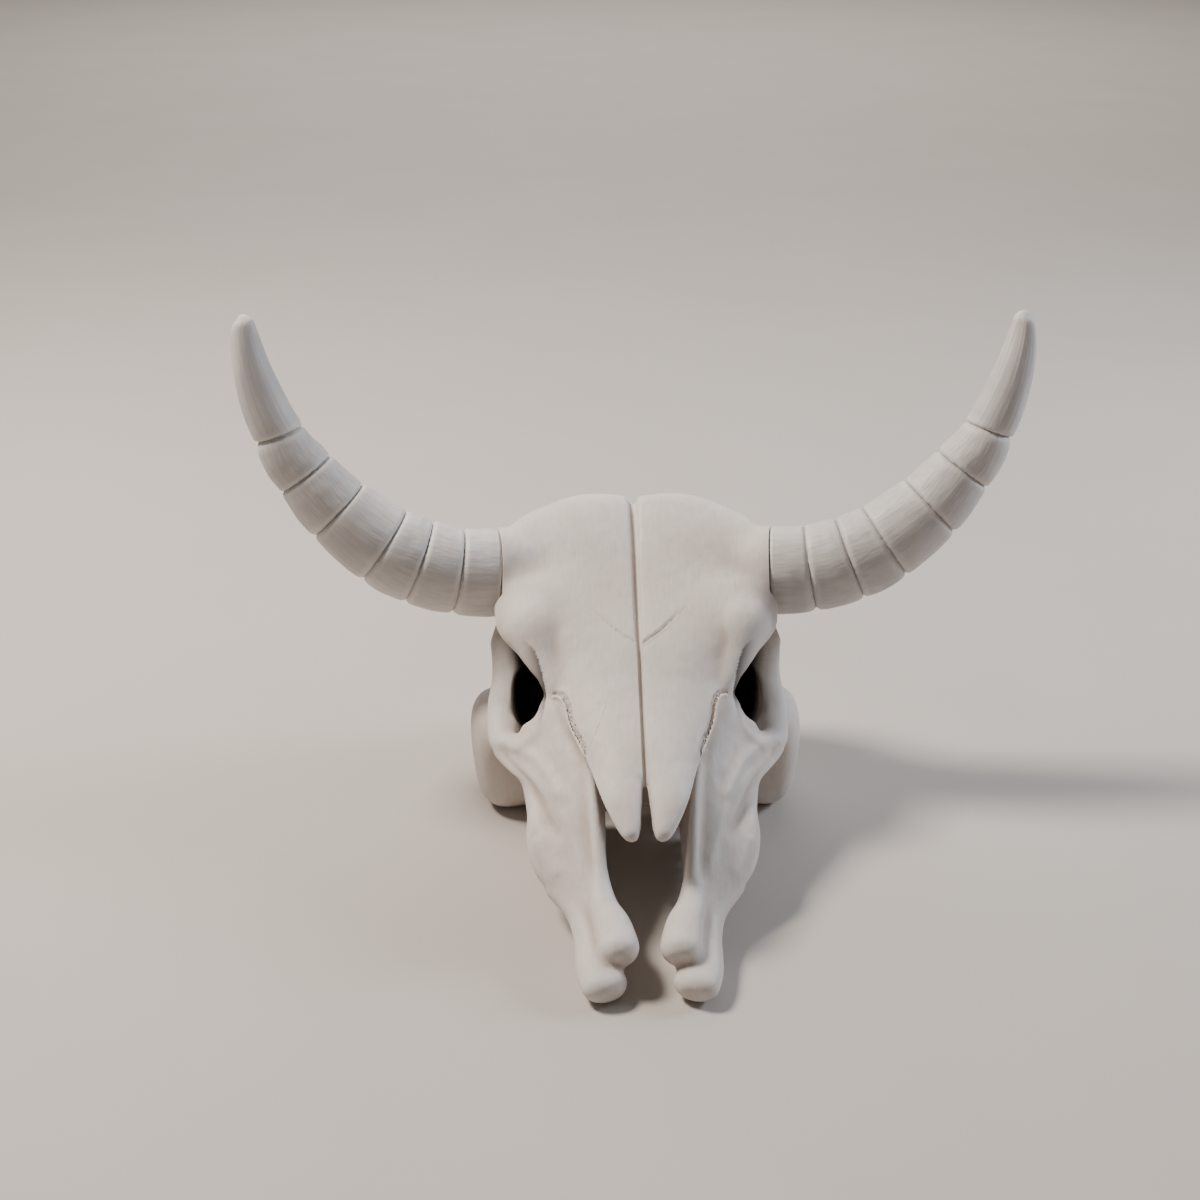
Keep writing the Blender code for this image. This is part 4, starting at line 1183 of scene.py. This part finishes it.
def camera(shift):
    ahead = Vector((math.sin(CAMERA_TURN) * math.cos(CAMERA_TILT),
                    math.cos(CAMERA_TURN) * math.cos(CAMERA_TILT), -math.sin(CAMERA_TILT)))
    right = Vector((math.cos(CAMERA_TURN), -math.sin(CAMERA_TURN), 0))
    up = right.cross(ahead)
    data = bpy.data.cameras.new("camera")
    data.lens = CAMERA_LENS
    data.sensor_width = CAMERA_SENSOR
    eye = bpy.data.objects.new("camera", data)
    bpy.context.scene.collection.objects.link(eye)
    matrix = Matrix((right, up, -ahead)).transposed().to_4x4()
    matrix.translation = (-(ahead * CAMERA_AWAY + right * CAMERA_ACROSS - up * CAMERA_UP)
                          + Vector((0, shift, 0)))
    eye.matrix_world = matrix
    bpy.context.scene.camera = eye


def finish(made, whole):
    """Colours, places and fits out the pieces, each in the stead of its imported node."""
    bone, horn = bone_material(), horn_material()
    table = whole["tree"]
    spots = np.concatenate([places_of(obj.data) for obj in made])
    shift = -(spots[:, 1].min() + spots[:, 1].max()) / 2
    for obj in made:
        mesh = obj.data
        if obj.name.startswith("horn"):
            mesh.materials.append(horn)
            # Edge depths, which lay on the painted highlight.
            paint(mesh, "cavity", cavity_of(mesh, 12))
            node = obj.name.removesuffix("_fine")
        else:
            mesh.materials.append(bone)
            co = places_of(mesh)
            found = [table.find(p)[1] for p in co]
            # Painted shade and highlight fade out towards the middle line, where the groove runs.
            clear = fade((np.abs(co[:, 0]) - GROOVE_CLEAR / 2) / (GROOVE_CLEAR / 2))
            paint(mesh, "cavity", whole["cavity"][found] * clear)
            paint(mesh, "hollow", whole["hollow"][found] * clear)
            # How much painted shade each point of the eye sockets gets.
            paint(mesh, "socket", painted_socket_shade(co) * SOCKET_SHADE_SHARE)
            node = obj.name.removesuffix("_bone")
        mesh.transform(Matrix.Translation((0, shift, 0)))
        mesh.shade_smooth()
        mesh.set_sharp_from_angle(angle=math.radians(SHARP_ANGLE))
        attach(obj, "root")
        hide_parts(node)
    return shift


def build():
    skull = whole_skull()
    co = places_of(skull.data)
    tree = KDTree(len(co))
    for i, p in enumerate(co):
        tree.insert(p, i)
    tree.balance()
    # Depths below the smoothed surface, small and broad, that lay on painted shade and highlight.
    whole = {"tree": tree, "cavity": cavity_of(skull.data, 24), "hollow": cavity_of(skull.data, 130)}
    return finish(bones(skull) + horns(), whole)


shift = build()
studio()
camera(shift)
